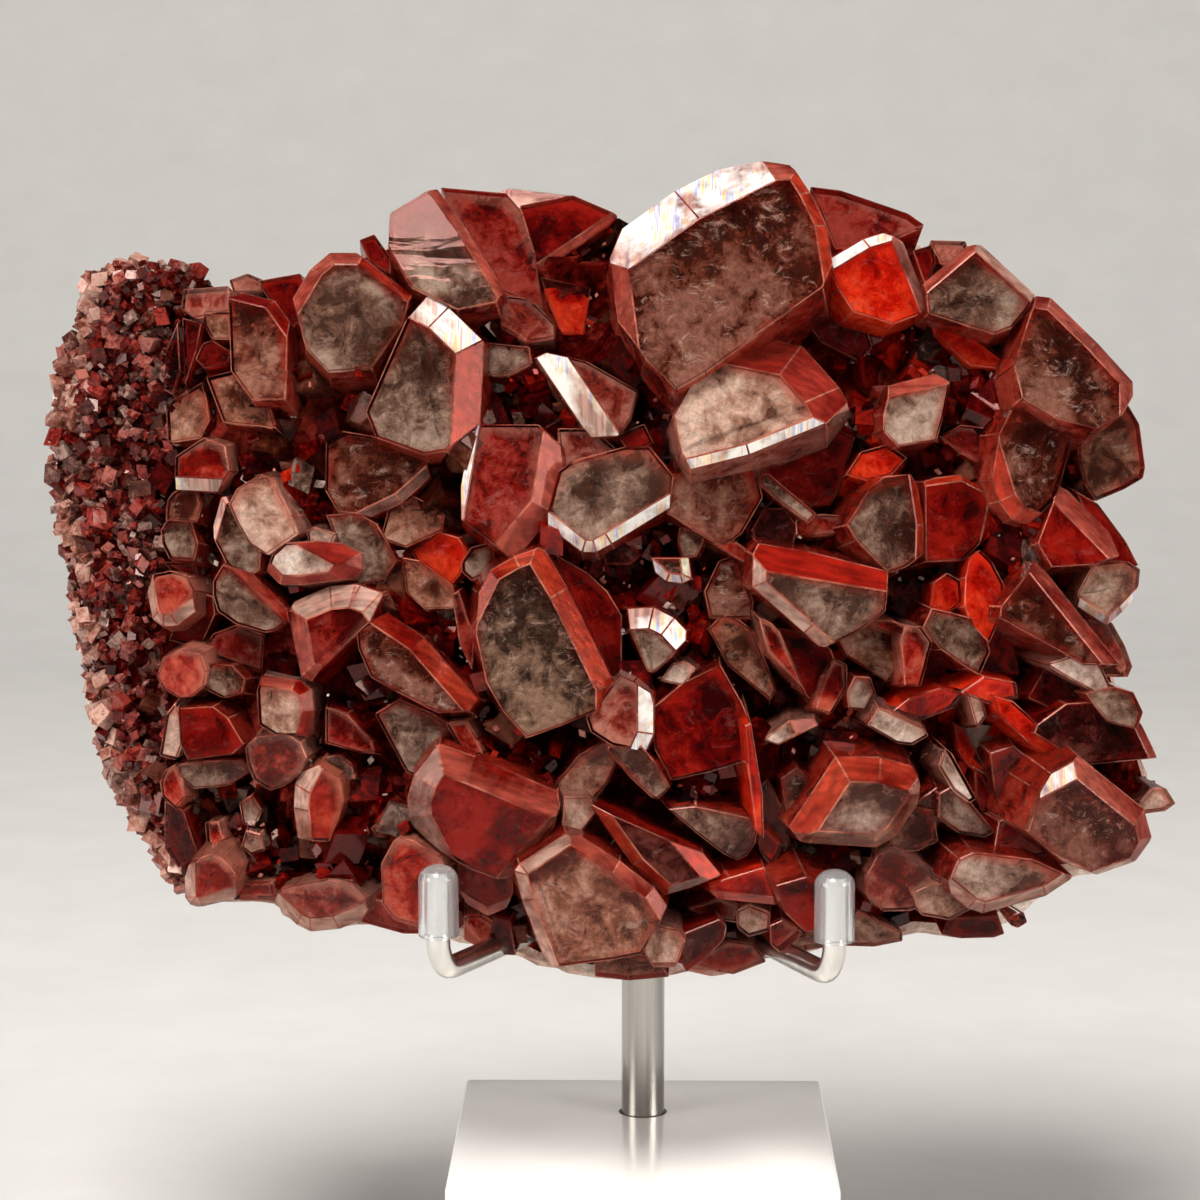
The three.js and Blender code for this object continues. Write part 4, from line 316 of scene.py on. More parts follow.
    ("red", 9, [34.5, 22.7, 35.6, 22.1, 36.5, 20, 36.5, 18, 35.4, 17.8, 34.6, 20], []),
    # A painted highlight: this face is pale where a lamp flashes on it.
    ("white", 14, [30.8, 22.8, 31.4, 24.8, 32.1, 24.2, 34.7, 19.5, 34, 19, 32.3, 20.3], []),
    ("grey", 13, [30.8, 20, 32, 20.7, 34, 19.2, 36.6, 16, 35.5, 15.4, 33, 15.8, 30.8, 17.4], []),
    # A painted highlight: this face is pale where a lamp flashes on it.
    ("white", 14, [23.3, 27, 24.5, 29, 26, 28.3, 29, 27, 29.7, 26, 28, 25, 26.4, 25.2], []),
    ("brown", 12, [28.3, 19, 30.6, 20.7, 31.2, 17.5, 29.6, 14.1, 27, 14.3, 27.8, 17], []),
    ("red", 11, [36, 24.2, 38.5, 25, 41.5, 22.5, 42, 20, 41, 17.3, 37, 16.8, 36.6, 20], []),
    ("rose", 12, [37, 17.2, 41.5, 18.2, 43.2, 16, 42.6, 13.8, 40, 13.2, 36.5, 14.2], []),
    ("cream", 13, [28, 9.6, 30, 10.7, 33, 10.2, 34.2, 8, 32, 6.8, 29, 7.3], []),
    ("maroon", 9, [31.8, 7, 37, 7.2, 37.6, 5.4, 36.5, 5, 33, 4.9, 31, 5.3], []),
    ("coral", 9, [38, 7.2, 39.6, 7.7, 40, 6.6, 39, 6, 38.2, 6.3], []),
    ("cream", 13, [33.7, 30.6, 34.3, 31.2, 35.4, 29.5, 35.7, 28, 34.8, 26.8], []),
    # low pieces along the bottom and the border
    ("tan", 10, [-5, 2.7, -2, 3, 1.5, 2.7, 2.7, 0.8, -1.5, 0.4, -5, 0.8], []),
    ("coral", 9, [4, 1.9, 8, 1.3, 9.2, 1, 12.8, 2.4, 11.5, 4.2, 8.6, 4.6, 6, 3], []),
    ("coral", 8, [-42.8, 8.7, -42.3, 10.4, -39, 10.6, -38.4, 8.6], []),
    ("rose", 9, [-29.4, 6.4, -28.6, 9, -27, 8.6, -21.4, 7, -21.6, 5.2, -25, 5.2], []),
    ("cream", 8, [20.3, 4.3, 22.4, 7.7, 24.2, 6.9, 27, 5.5, 27, 4.6, 24, 4, 21, 4.1], []),
    ("cream", 8, [13.8, 3.1, 14.3, 4.2, 16.8, 5.3, 19.3, 5.6, 19.4, 4, 17, 3.6], []),
    ("maroon", 7.5, [-48, 62.5, -46.8, 66.2, -46.3, 69, -48.3, 69.5], []),
    ("maroon", 7, [-48.8, 69, -48.5, 64, -49.3, 61.5, -50.2, 62, -50, 66], []),
    ("tan", 7, [-50, 60.5, -46.2, 62.8, -45.5, 59, -46.5, 57, -49.8, 56.5], []),
    ("rose", 7, [-50.3, 44, -47, 44, -46.2, 41.5, -49.5, 43.2], []),
    ("maroon", 7, [-47, 41, -45, 40.4, -44.8, 38.5, -46.4, 35, -49.6, 35.8, -49, 37.3], []),
    ("rose", 8, [-45, 36.5, -42.6, 37.4, -39.7, 36.4, -40, 32.2, -43, 33.4, -46.3, 34.4], []),
    ("maroon", 7, [-50, 19, -48, 18, -46.5, 13.4, -48.6, 12, -50, 14], []),
    ("coral", 8, [-45.8, 16.8, -44.4, 16.9, -43.8, 15, -45, 14.2, -45.6, 14.6], []),
    ("cream", 8.5, [-42, 14.2, -41.5, 16, -40, 15.6, -39.5, 13.9, -41, 13.4], []),
    ("grey", 8.5, [-42.2, 18.8, -41, 19.6, -40, 18, -40.6, 16.4, -41.8, 16.6], []),
    # vivid seams
    ("vivid", 12.5, [26, 28.6, 28, 30.2, 31, 31, 33.4, 30.4, 32, 28.8, 29, 27.6], []),
    ("vivid", 13, [33, 30.5, 35.5, 32.2, 38.8, 31.6, 39, 30, 36, 29.3], []),
    ("vivid", 13, [36.4, 30.2, 38.5, 29.6, 41.8, 26.6, 44.6, 23.4, 43.4, 22.6, 40, 25.4, 37, 28.2], []),
    ("vivid", 12, [30, 39.4, 30.2, 42, 31.6, 43, 33, 42.2, 33.2, 40, 31.8, 38.8], []),
    ("vivid", 12, [21, 53.2, 22.6, 55.6, 25.4, 56.4, 27.4, 55, 25.8, 53.2, 23.4, 52.6], []),
]


def pairs(numbers):
    return [Vector(numbers[i:i + 2]) for i in range(0, len(numbers), 2)]


def centreOf(points):
    return sum(points[1:], points[0]) / len(points)


edgePoints = pairs(edgeNumbers)


def seededRandom(seed):
    state = seed

    def draw():
        nonlocal state
        state = state * 16807 % 2147483647
        return state / 2147483647

    return draw


# Where the line of sight through (u, v) on the sight plane meets the plane w = height + slopes.
def seenAt(point, height, slopeU=0, slopeV=0, around=None):
    around = around or point
    ray = Vector((point.x, point.y, slab["sightPlane"])) - eye
    normal = Vector((-slopeU, -slopeV, 1))
    reach = normal.dot(Vector((around.x, around.y, height)) - eye) / normal.dot(ray)
    return eye + ray * reach


def isInside(corners, point):
    inside = False
    for i, a in enumerate(corners):
        b = corners[(i + 1) % len(corners)]
        if (a.y > point.y) != (b.y > point.y):
            if point.x < a.x + (point.y - a.y) * (b.x - a.x) / (b.y - a.y):
                inside = not inside
    return inside


# A finished piece from a bmesh in the stone's frame, or in the frame of another place, in millimetres.
def pieceFrom(bm, name, materials, place=slabFrame, smooth=False):
    bmesh.ops.transform(bm, verts=bm.verts, matrix=toMetres @ place)
    mesh = bpy.data.meshes.new(name)
    bm.to_mesh(mesh)
    bm.free()
    for material in materials:
        mesh.materials.append(material)
    if smooth:
        mesh.shade_smooth()
    else:
        mesh.shade_flat()
    piece = bpy.data.objects.new(name, mesh)
    scene.collection.objects.link(piece)
    return piece


# A new mesh of an object as its modifiers leave it.
def finishedMesh(piece):
    graph = bpy.context.evaluated_depsgraph_get()
    return bpy.data.meshes.new_from_object(piece.evaluated_get(graph))


# Joins or cuts closed pieces and leaves one piece with the materials of the first.
def joined(base, others, operation="UNION"):
    group = bpy.data.collections.new(base.name + "Parts")
    for other in others:
        group.objects.link(other)
    join = base.modifiers.new("join", "BOOLEAN")
    join.operation, join.solver = operation, "MANIFOLD"
    join.operand_type, join.collection = "COLLECTION", group
    mesh = finishedMesh(base)
    base.modifiers.clear()
    base.data = mesh
    for other in others:
        bpy.data.objects.remove(other)
    bpy.data.collections.remove(group)
    mesh.shade_flat()
    return base


# Materials. Patterns read Object coordinates, so their scales are per metre. A crystal's own tint
# shifts the pattern and says how near the crystal's edge a point is (rim) and how lit (lit).
class Nodes:
    def __init__(self, name, tinted=False):
        self.material = bpy.data.materials.new(name)
        self.material.use_nodes = True
        self.tree = self.material.node_tree
        self.shader = self.tree.nodes["Principled BSDF"]
        self.place = self.add("ShaderNodeTexCoord").outputs["Object"]
        if tinted:
            tint = self.add("ShaderNodeAttribute", attribute_name="tint", attribute_type="GEOMETRY")
            parts = self.add("ShaderNodeSeparateColor", {"Color": tint.outputs["Color"]})
            self.rim, self.lit, self.own = [parts.outputs[name] for name in ("Red", "Green", "Blue")]
            self.place = self.add("ShaderNodeVectorMath", {0: self.place, 1: self.own}).outputs[0]

    def add(self, kind, inputs=None, **settings):
        node = self.tree.nodes.new(kind)
        for key, value in settings.items():
            setattr(node, key, value)
        for key, value in (inputs or {}).items():
            if isinstance(value, bpy.types.NodeSocket):
                self.tree.links.new(value, node.inputs[key])
            else:
                node.inputs[key].default_value = value
        return node

    def set(self, **values):
        for key, value in values.items():
            socket = self.shader.inputs[key.replace("_", " ")]
            if isinstance(value, bpy.types.NodeSocket):
                self.tree.links.new(value, socket)
            else:
                socket.default_value = value

    def placed(self, turn=(0, 0, 0), stretch=(1, 1, 1), shift=(0, 0, 0)):
        mapping = self.add("ShaderNodeMapping", {
            "Vector": self.place, "Location": shift, "Rotation": turn, "Scale": stretch,
        })
        return mapping.outputs["Vector"]

    def noise(self, scale, detail=4, roughness=0.6, distortion=0, where=None):
        return self.add("ShaderNodeTexNoise", {
            "Vector": where or self.place, "Scale": scale, "Detail": detail,
            "Roughness": roughness, "Distortion": distortion,
        }).outputs["Fac"]

    def ramp(self, fac, stops):
        node = self.add("ShaderNodeValToRGB", {"Fac": fac})
        band = node.color_ramp
        while len(band.elements) < len(stops):
            band.elements.new(0.5)
        for element, (at, color) in zip(band.elements, stops):
            element.position = at
            element.color = (*color, 1) if len(color) == 3 else color
        return node.outputs["Color"]

    def mix(self, fac, a, b, blend="MIX"):
        node = self.add("ShaderNodeMix", data_type="RGBA", blend_type=blend)
        for index, value in ((0, fac), (6, a), (7, b)):
            if isinstance(value, bpy.types.NodeSocket):
                self.tree.links.new(value, node.inputs[index])
            else:
                node.inputs[index].default_value = value if index == 0 else (*value, 1)
        return node.outputs[2]

    def plus(self, value, share, other):
        node = self.add("ShaderNodeMath", {0: value, 1: share, 2: other}, operation="MULTIPLY_ADD")
        return node.outputs[0]

    def bump(self, height, strength, distance):
        self.set(Normal=self.add("ShaderNodeBump", {
            "Height": height, "Strength": strength, "Distance": distance,
        }).outputs["Normal"])


def grey(value):
    return (value, value, value)


# The calcite's inside. A cloudy veil lies under each face: its dark, main and light colours, the
# colour near the crystal's edge and the strength of the fine grain. A phantom lies deeper and
# shows where the veil is thin.
veilLooks = {
    "grey": ((0.060, 0.018, 0.010), (0.165, 0.088, 0.060), (0.40, 0.30, 0.235), (0.26, 0.030, 0.016), 0.5),
    "olive": ((0.022, 0.008, 0.004), (0.075, 0.040, 0.025), (0.30, 0.19, 0.13), (0.15, 0.012, 0.006), 0.55),
    "pale": ((0.10, 0.044, 0.028), (0.27, 0.17, 0.125), (0.55, 0.43, 0.35), (0.40, 0.10, 0.065), 0.5),
    "greyred": ((0.055, 0.005, 0.002), (0.16, 0.036, 0.020), (0.38, 0.19, 0.13), (0.32, 0.022, 0.010), 0.5),
    "pink": ((0.12, 0.004, 0.002), (0.27, 0.034, 0.021), (0.54, 0.22, 0.16), (0.40, 0.19, 0.145), 0.35),
    "tan": ((0.10, 0.018, 0.008), (0.29, 0.115, 0.070), (0.55, 0.33, 0.24), (0.44, 0.09, 0.055), 0.55),
    "dark": (
        (0.008, 0.0004, 0.0003), (0.050, 0.003, 0.002), (0.16, 0.045, 0.032),
        (0.16, 0.006, 0.004), 0.3,
    ),
    "brown": ((0.034, 0.003, 0.001), (0.095, 0.018, 0.008), (0.26, 0.115, 0.08), (0.26, 0.018, 0.008), 0.6),
    "rose": ((0.08, 0.001, 0.0006), (0.20, 0.007, 0.004), (0.38, 0.055, 0.038), (0.36, 0.125, 0.09), 0.3),
    "red": (
        (0.034, 0.0002, 0.0001), (0.14, 0.0008, 0.0004), (0.32, 0.010, 0.005),
        (0.36, 0.014, 0.007), 0.2,
    ),
    "cream": ((0.17, 0.060, 0.035), (0.42, 0.24, 0.17), (0.72, 0.55, 0.45), (0.55, 0.19, 0.13), 0.5),
    "vivid": ((0.20, 0.001, 0.0004), (0.58, 0.010, 0.002), (0.85, 0.07, 0.018), (0.75, 0.03, 0.008), 0.25),
    "maroon": (
        (0.010, 0.0002, 0.0002), (0.06, 0.0008, 0.0006), (0.17, 0.006, 0.004),
        (0.20, 0.008, 0.005), 0.22,
    ),
    # White is pale calcite, and on some crystals a painted highlight: a pale face where the lamps flash.
    "white": ((0.30, 0.17, 0.12), (0.60, 0.46, 0.37), (0.88, 0.81, 0.73), (0.70, 0.42, 0.33), 0.5),
    "coral": ((0.12, 0.002, 0.001), (0.32, 0.013, 0.006), (0.58, 0.11, 0.065), (0.50, 0.20, 0.14), 0.32),
    "orange": ((0.13, 0.003, 0.001), (0.37, 0.013, 0.004), (0.60, 0.075, 0.027), (0.52, 0.15, 0.09), 0.25),
    "rim": ((0.05, 0.0006, 0.0003), (0.20, 0.008, 0.004), (0.46, 0.07, 0.042), (0.30, 0.020, 0.010), 0.4),
}
phantomLooks = {
    "hematite": ((0.020, 0.0002, 0.0001), (0.13, 0.001, 0.0005), (0.36, 0.010, 0.004)),
    "maroon": ((0.008, 0.0002, 0.0002), (0.05, 0.0006, 0.0005), (0.15, 0.004, 0.003)),
    "vivid": ((0.14, 0.0006, 0.0002), (0.52, 0.007, 0.001), (0.85, 0.06, 0.012)),
    "umber": ((0.030, 0.004, 0.0015), (0.090, 0.016, 0.007), (0.20, 0.060, 0.036)),
    "smoke": ((0.014, 0.0045, 0.003), (0.080, 0.032, 0.022), (0.28, 0.17, 0.13)),
}
insideLook = {
    "broad": 110, "patch": 430, "patchShare": 0.5, "litShare": 0.11, "spread": 0.10,
    "fine": 1500, "streak": 1500, "streakShare": 0.12, "streakTurn": (0.3, 0.5, 0.9),
    "streakStretch": (0.08, 1, 0.4), "feather": 620, "featherTurn": (0.7, 0.2, 0.5),
    "featherStretch": (0.7, 1, 1), "featherColour": (0.60, 0.46, 0.38),
    "rimShare": 0.44, "litLoss": -0.36, "mostRim": 0.92, "smooth": 0.25, "thin": 0.6, "smoothThin": 0.85,
    "phantomGrain": 0.6, "grain": 2100, "roughness": 0.6,
}
litMiddle = 0.5 + insideLook["litShare"] / 2


# Dark to light in broad clouds and patches, lighter on the lit side of each crystal.
def mottled(n):
    broad = n.noise(insideLook["broad"], 4, 0.55, 0.7)
    patches = n.noise(insideLook["patch"], 6, 0.7, 0.5)
    return n.plus(n.lit, insideLook["litShare"], n.mix(insideLook["patchShare"], broad, patches))


# Fine grain and faint parallel growth lines over a colour.
def grained(n, color, grain):
    fine = n.noise(insideLook["fine"], 5, 0.78, 0.3)
    streaks = n.placed(insideLook["streakTurn"], insideLook["streakStretch"])
    lines = n.noise(insideLook["streak"], 2, 0.5, 0, streaks)
    shade = n.ramp(n.mix(insideLook["streakShare"], fine, lines), (
        (0.38, grey(0.4)), (0.50, grey(1)), (0.62, grey(1.5)),
    ))
    return n.mix(grain, color, shade, "MULTIPLY")


def litRamp(n, level, dark, main, light):
    spread = insideLook["spread"]
    return n.ramp(level, ((litMiddle - spread, dark), (litMiddle, main), (litMiddle + spread, light)))


# Rough and without reflections, as a surface inside the clear crystal.
def finishInside(n, color):
    n.set(Base_Color=color, Roughness=insideLook["roughness"], Specular_IOR_Level=0.0)
    n.bump(n.noise(insideLook["grain"], 3, 0.75), 0.3, 0.0004)


# Milky clouds, thin in the dark places, with white feathers, and red towards the crystal's edge; that red is
# painted weaker on each crystal's lit side.
def veilMaterial(kind, look):
    dark, main, light, rim, grain = look
    n = Nodes("veil" + kind.capitalize(), tinted=True)
    level = mottled(n)
    color = grained(n, litRamp(n, level, dark, main, light), grain)
    feathers = n.placed(insideLook["featherTurn"], insideLook["featherStretch"])
    feathers = n.noise(insideLook["feather"], 6, 0.85, 0.8, feathers)
    amount = n.ramp(feathers, ((0.55, grey(0)), (0.66, grey(2 * grain ** 2))))
    color = n.mix(amount, color, insideLook["featherColour"])
    wander = n.noise(insideLook["patch"] / 2, 5, 0.7, 0.6)
    wander = n.plus(n.rim, insideLook["rimShare"], n.plus(n.lit, insideLook["litLoss"], wander))
    nearEdge = n.ramp(wander, ((0.50, grey(0)), (0.92, grey(insideLook["mostRim"]))))
    color = n.mix(nearEdge, color, rim)
    thin = insideLook["thin" if grain > insideLook["smooth"] else "smoothThin"]
    n.set(Alpha=n.ramp(level, ((litMiddle - 0.09, grey(thin)), (litMiddle + 0.02, grey(1)))))
    finishInside(n, color)
    return n.material


def phantomMaterial(kind, look):
    n = Nodes("phantom" + kind.capitalize(), tinted=True)
    finishInside(n, grained(n, litRamp(n, mottled(n), *look), insideLook["phantomGrain"]))
    return n.material


veils = {kind: veilMaterial(kind, look) for kind, look in veilLooks.items()}
phantoms = {kind: phantomMaterial(kind, look) for kind, look in phantomLooks.items()}


calciteIor = 1.46


# Clear calcite, faintly pink.
def clearCalcite():
    n = Nodes("clearCalcite")
    n.set(Base_Color=(1, 0.95, 0.93, 1), Roughness=0.03, IOR=calciteIor, Transmission_Weight=1.0)
    n.set(Specular_Tint=(0.55, 0.30, 0.28, 1))
    ripples = n.noise(420, 3, 0.5, 0.3, n.placed((0.4, 0.2, 0.7), (0.25, 1, 1)))
    n.bump(ripples, 0.05, 0.0005)
    absorb = n.add("ShaderNodeVolumeAbsorption", {"Color": (1, 0.62, 0.55, 1), "Density": 55.0})
    output = n.tree.nodes["Material Output"]
    n.tree.links.new(absorb.outputs["Volume"], output.inputs["Volume"])
    return n.material


# Frosted calcite for edges and bevels, with faint growth lines. Part of the light goes through.
def frosted(name, color, light, clearShare):
    n = Nodes(name, tinted=True)
    lines = n.noise(2600, 1, 0.5, 0, n.placed((0.5, 0.3, 0.8), (0.03, 1, 0.4)))
    clouds = n.plus(n.rim, 0.45, n.noise(200, 5, 0.65, 0.5))
    base = n.mix(n.ramp(clouds, ((0.52, grey(0)), (0.92, grey(1)))), color, light)
    base = n.mix(0.5, base, n.ramp(lines, ((0.38, grey(0.45)), (0.62, grey(1.45)))), "MULTIPLY")
    n.set(Base_Color=base, Roughness=0.12, Transmission_Weight=clearShare, IOR=calciteIor)
    n.set(Specular_Tint=(0.60, 0.32, 0.28, 1))
    n.bump(lines, 0.06, 0.0002)
    return n.material


# A bevel that flashes: pale pink, with a painted highlight in white patches and painted rainbow glints in
# fine coloured lines, over a thin film that colours its real reflections.
def flashing(name, color, light, clearShare):
    n = Nodes(name)
    lines = n.noise(1900, 1, 0.5, 0, n.placed((0.2, 0.3, 0.9), (1, 0.05, 0.05)))
    # Painted glints: fine lines of white, blue, gold and pink in the colour.
    paintedGlints = n.ramp(lines, (
        (0.30, (0.98, 0.97, 0.95)), (0.41, (0.46, 0.48, 0.82)), (0.46, (1, 1, 1)),
        (0.53, (1, 0.66, 0.20)), (0.58, (1, 1, 1)), (0.66, (0.74, 0.50, 0.46)),
    ))
    whiter = n.noise(300, 3, 0.6, 0, n.placed((0.6, 0.1, 0.4)))
    paintedGlints = n.mix(n.ramp(whiter, ((0.46, grey(0)), (0.54, grey(0.9)))), paintedGlints, grey(1))
    patches = n.noise(130, 4, 0.65, 0.2)
    paintedGlints = n.mix(0.8, paintedGlints, light, "MULTIPLY")
    color = n.mix(0.8, color, n.ramp(lines, ((0.40, grey(0.45)), (0.60, grey(1.2)))), "MULTIPLY")
    # The white patches are a painted flash over the pink.
    base = n.mix(n.ramp(patches, ((0.40, grey(0)), (0.53, grey(1)))), color, paintedGlints)
    n.set(Base_Color=base, Roughness=0.1, Transmission_Weight=clearShare, IOR=calciteIor)
    n.set(Thin_Film_Thickness=420.0, Thin_Film_IOR=1.33)
    n.bump(lines, 0.08, 0.0002)
    return n.material


bevelColours = {
    "pink": ((0.22, 0.008, 0.004), (0.66, 0.15, 0.10), 0.65),
    "orange": ((0.30, 0.004, 0.001), (0.78, 0.075, 0.028), 0.7),
    "red": ((0.18, 0.0006, 0.0003), (0.55, 0.022, 0.010), 0.7),
    # The white bevels are painted flashes: their near-white colour stands in for the lamps' glints.
    "white": ((0.50, 0.27, 0.23), (0.97, 0.94, 0.90), 0.25),
    "grey": ((0.16, 0.060, 0.040), (0.56, 0.38, 0.31), 0.75),
    "rose": ((0.20, 0.003, 0.002), (0.55, 0.055, 0.035), 0.7),
    "cream": ((0.34, 0.13, 0.085), (0.82, 0.56, 0.45), 0.6),
    "coral": ((0.26, 0.005, 0.002), (0.72, 0.085, 0.04), 0.65),
    "brown": ((0.14, 0.022, 0.009), (0.46, 0.21, 0.14), 0.7),
    "vivid": ((0.55, 0.005, 0.0008), (0.95, 0.07, 0.014), 0.6),
}
clear = clearCalcite()
# The edges' thin bevels: frosted calcite painted pale pink, a painted highlight along every edge.
edgeLight = frosted("edgeCalciteHighlight", (0.16, 0.010, 0.006), (0.70, 0.24, 0.16), 0.6)
bevelMaterials = [
    (flashing if kind == "white" else frosted)("bevel" + kind.capitalize(), *look)
    for kind, look in bevelColours.items()
]
shellMaterials = [clear, edgeLight, *bevelMaterials]
print("materials made")

# Crystals. Each is a block cut by its face, its bevels and sides that flare towards the rock.
crystalShape = {
    "foot": 1.2,
    "leanOut": 0.24,
    "leanSpread": 0.1,
    "halfWidth": 60,
    "halfHeight": 45,
    "flare": 0.1,
    "rimFlare": -0.16,
    "rimReach": 1.6,
    "blockSide": 60,
    "edgeBevel": 0.1,
    "smallest": 0.12,
    "fewestFaces": 4,
    "seed": 11,
}


# The planes that cut a crystal out of a block: its face, its bevels and its sides.
def crystalCuts(face, outline, bevels, draw):
    seen = pairs(outline)
    centre = centreOf(seen)
    lean, spread = crystalShape["leanOut"], crystalShape["leanSpread"]
    slopeU = -lean * (centre.x - middle.x) / crystalShape["halfWidth"] + spread * (draw() * 2 - 1)
    slopeV = -lean * (centre.y - middle.y) / crystalShape["halfHeight"] + spread * (draw() * 2 - 1)
    corners = [seenAt(p, face, slopeU, slopeV, centre) for p in seen]
    up = Vector((-slopeU, -slopeV, 1)).normalized()
    heart = centreOf(corners)
    cuts = [(up, heart, "face")]
    for i, a in enumerate(corners):
        following = (i + 1) % len(corners)
        b = corners[following]
        out = (b - a).cross(up).normalized()
        if out.dot(a - heart) < 0:
            out.negate()
        centreOfEdge = (a + b) / 2
        beyond = (seen[i] + seen[following]) / 2 + out.xy.normalized() * crystalShape["rimReach"]
        flare = crystalShape["flare"] if isInside(edgePoints, beyond) else crystalShape["rimFlare"]
        side = (out + up * flare).normalized()
        bevel = next((bevel for bevel in bevels if bevel[0] <= i <= bevel[1]), None)
        if bevel:
            width, drop, kind = bevel[2:]
            cuts.append(((out * drop + up * width).normalized(), centreOfEdge - out * width, kind))
            centreOfEdge = centreOfEdge - up * drop
        cuts.append((side, centreOfEdge, "side"))
    return heart, cuts


# A block cut by planes, each moved inwards by its inset. Every new face takes its slot's number.
def cutBlock(heart, cuts, slots, insets, foot):
    side = crystalShape["blockSide"]
    bm = bmesh.new()
    place = Matrix.Translation((heart.x, heart.y, foot + side))
    place @= Matrix.Diagonal((side, side, 2 * side, 1))
    bmesh.ops.create_cube(bm, size=1, matrix=place)
    for normal, point, role in cuts:
        ring = bmesh.ops.bisect_plane(
            bm, geom=bm.verts[:] + bm.edges[:] + bm.faces[:], dist=1e-4,
            plane_co=point - normal * insets[role], plane_no=normal, clear_outer=True,
        )["geom_cut"]
        edges = [part for part in ring if isinstance(part, bmesh.types.BMEdge)]
        if edges:
            bmesh.ops.edgeloop_fill(bm, edges=edges, mat_nr=slots[role])
    bmesh.ops.remove_doubles(bm, verts=bm.verts, dist=crystalShape["smallest"])
    bmesh.ops.dissolve_degenerate(bm, dist=crystalShape["smallest"] / 2, edges=bm.edges)
    return bm


tintShape = {"even": 0.5, "border": 1.5, "share": 0.4, "toLight": (-0.45, -0.75, 0), "turn": 0.618}


# A new bmesh that carries the tint.
def tintedMesh():
    bm = bmesh.new()
    bm.loops.layers.float_color.new("tint")
    return bm


# One tint all over some faces: rim, lit and own number.
def paintEvenly(bm, faces, tint):
    layer = bm.loops.layers.float_color["tint"]
    for face in faces:
        for loop in face.loops:
            loop[layer] = (*tint, 1)


# Paints the tint: near the crystal's edge, on its lit side, and its own number. The face gets a
# border first, so that the edge's colour fades inwards.
def paintTint(bm, heart, up, number):
    face = max(bm.faces, key=lambda f: f.calc_center_median().dot(up))
    reach = 2 * face.calc_area() / face.calc_perimeter()
    border = min(tintShape["border"], tintShape["share"] * reach)
    bmesh.ops.inset_individual(bm, faces=[face], thickness=border, use_even_offset=True)
    inner = set(face.verts)
    toLight = Vector(tintShape["toLight"])
    own = number * tintShape["turn"] % 1
    layer = bm.loops.layers.float_color.new("tint")
    for part in bm.faces:
        for loop in part.loops:
            lit = 0.5 + 0.5 * (loop.vert.co - heart).dot(toLight) / max(reach, 1)
            loop[layer] = (0 if loop.vert in inner else 1, min(1, max(0, lit)), own, 1)


# How far the veil and the phantom lie inside the crystal, and how far above its foot.
veilDepth = {"face": (0.4, 1.1), "side": (0.15, 0.4), "bevel": 0.4, "foot": 0.2}
phantomDepth = {"face": (1.8, 4.0), "side": (0.7, 1.6), "bevel": 1.2, "foot": 0.4}
insideSeed = 5
shellSlots = {"face": 0, "side": 0, **{kind: 2 + i for i, kind in enumerate(bevelColours)}}
noInset = dict.fromkeys(shellSlots, 0)

# For each colour, the veil under the crystal's sides and the phantom under its face.
innerKinds = {
    "grey": ("rim", "umber"), "olive": ("rim", "smoke"), "pale": ("rim", "umber"),
    "greyred": ("rim", "hematite"), "pink": ("pink", "hematite"), "tan": ("rim", "umber"),
    "dark": ("red", "smoke"), "brown": ("rim", "umber"), "rose": ("red", "hematite"),
    "red": ("rim", "hematite"), "cream": ("pink", "umber"), "vivid": ("vivid", "vivid"),
    "maroon": ("maroon", "maroon"), "white": ("pink", "smoke"), "coral": ("coral", "vivid"),
    "orange": ("orange", "vivid"),
}


def between(span, share):
    return span[0] + (span[1] - span[0]) * share


# How far each kind of plane moves inwards.
def insetsFor(depth, draw):
    return {
        **dict.fromkeys(shellSlots, depth["bevel"]),
        "face": between(depth["face"], draw()),
        "side": between(depth["side"], draw()),
    }


# One closed piece inside a crystal, unless the insets leave nothing of it.
def innerPiece(heart, cuts, depth, draw, kinds, materials, number):
    names = list(materials)
    slots = {**dict.fromkeys(shellSlots, names.index(kinds["side"])), "face": names.index(kinds["face"])}
    bm = cutBlock(heart, cuts, slots, insetsFor(depth, draw), crystalShape["foot"] + depth["foot"])
    if len(bm.faces) <= crystalShape["fewestFaces"]:
        bm.free()
        return []
    paintTint(bm, heart, cuts[0][0], number)
    return [pieceFrom(bm, f"inside{number}", materials.values())]


def makeCrystals():
    draw = seededRandom(crystalShape["seed"])
    depthDraw = seededRandom(insideSeed)
    shells, veilPieces, phantomPieces = [], [], []
    for number, (kind, face, outline, bevels) in enumerate(crystalList):
        heart, cuts = crystalCuts(face, outline, bevels, draw)
        bm = cutBlock(heart, cuts, shellSlots, noInset, crystalShape["foot"])
        layer = bm.loops.layers.float_color.new("tint")
        for part in bm.faces:
            for loop in part.loops:
                loop[layer] = (depthDraw(), tintShape["even"], number * tintShape["turn"] % 1, 1)
        # Thin bevels on all edges, in slot 1: the edge material, painted pale as a highlight.
        bmesh.ops.bevel(
            bm, geom=bm.edges[:], offset=crystalShape["edgeBevel"], affect="EDGES", segments=1,
            profile=0.5, material=1, clamp_overlap=True,
        )
        shells.append(pieceFrom(bm, f"shell{number}", shellMaterials))
        side, deep = innerKinds[kind]
        kinds = {"face": kind, "side": side}
        veilPieces += innerPiece(heart, cuts, veilDepth, depthDraw, kinds, veils, number)
        kinds = {"face": deep, "side": "hematite"}
        phantomPieces += innerPiece(heart, cuts, phantomDepth, depthDraw, kinds, phantoms, number)
    return shells, veilPieces, phantomPieces


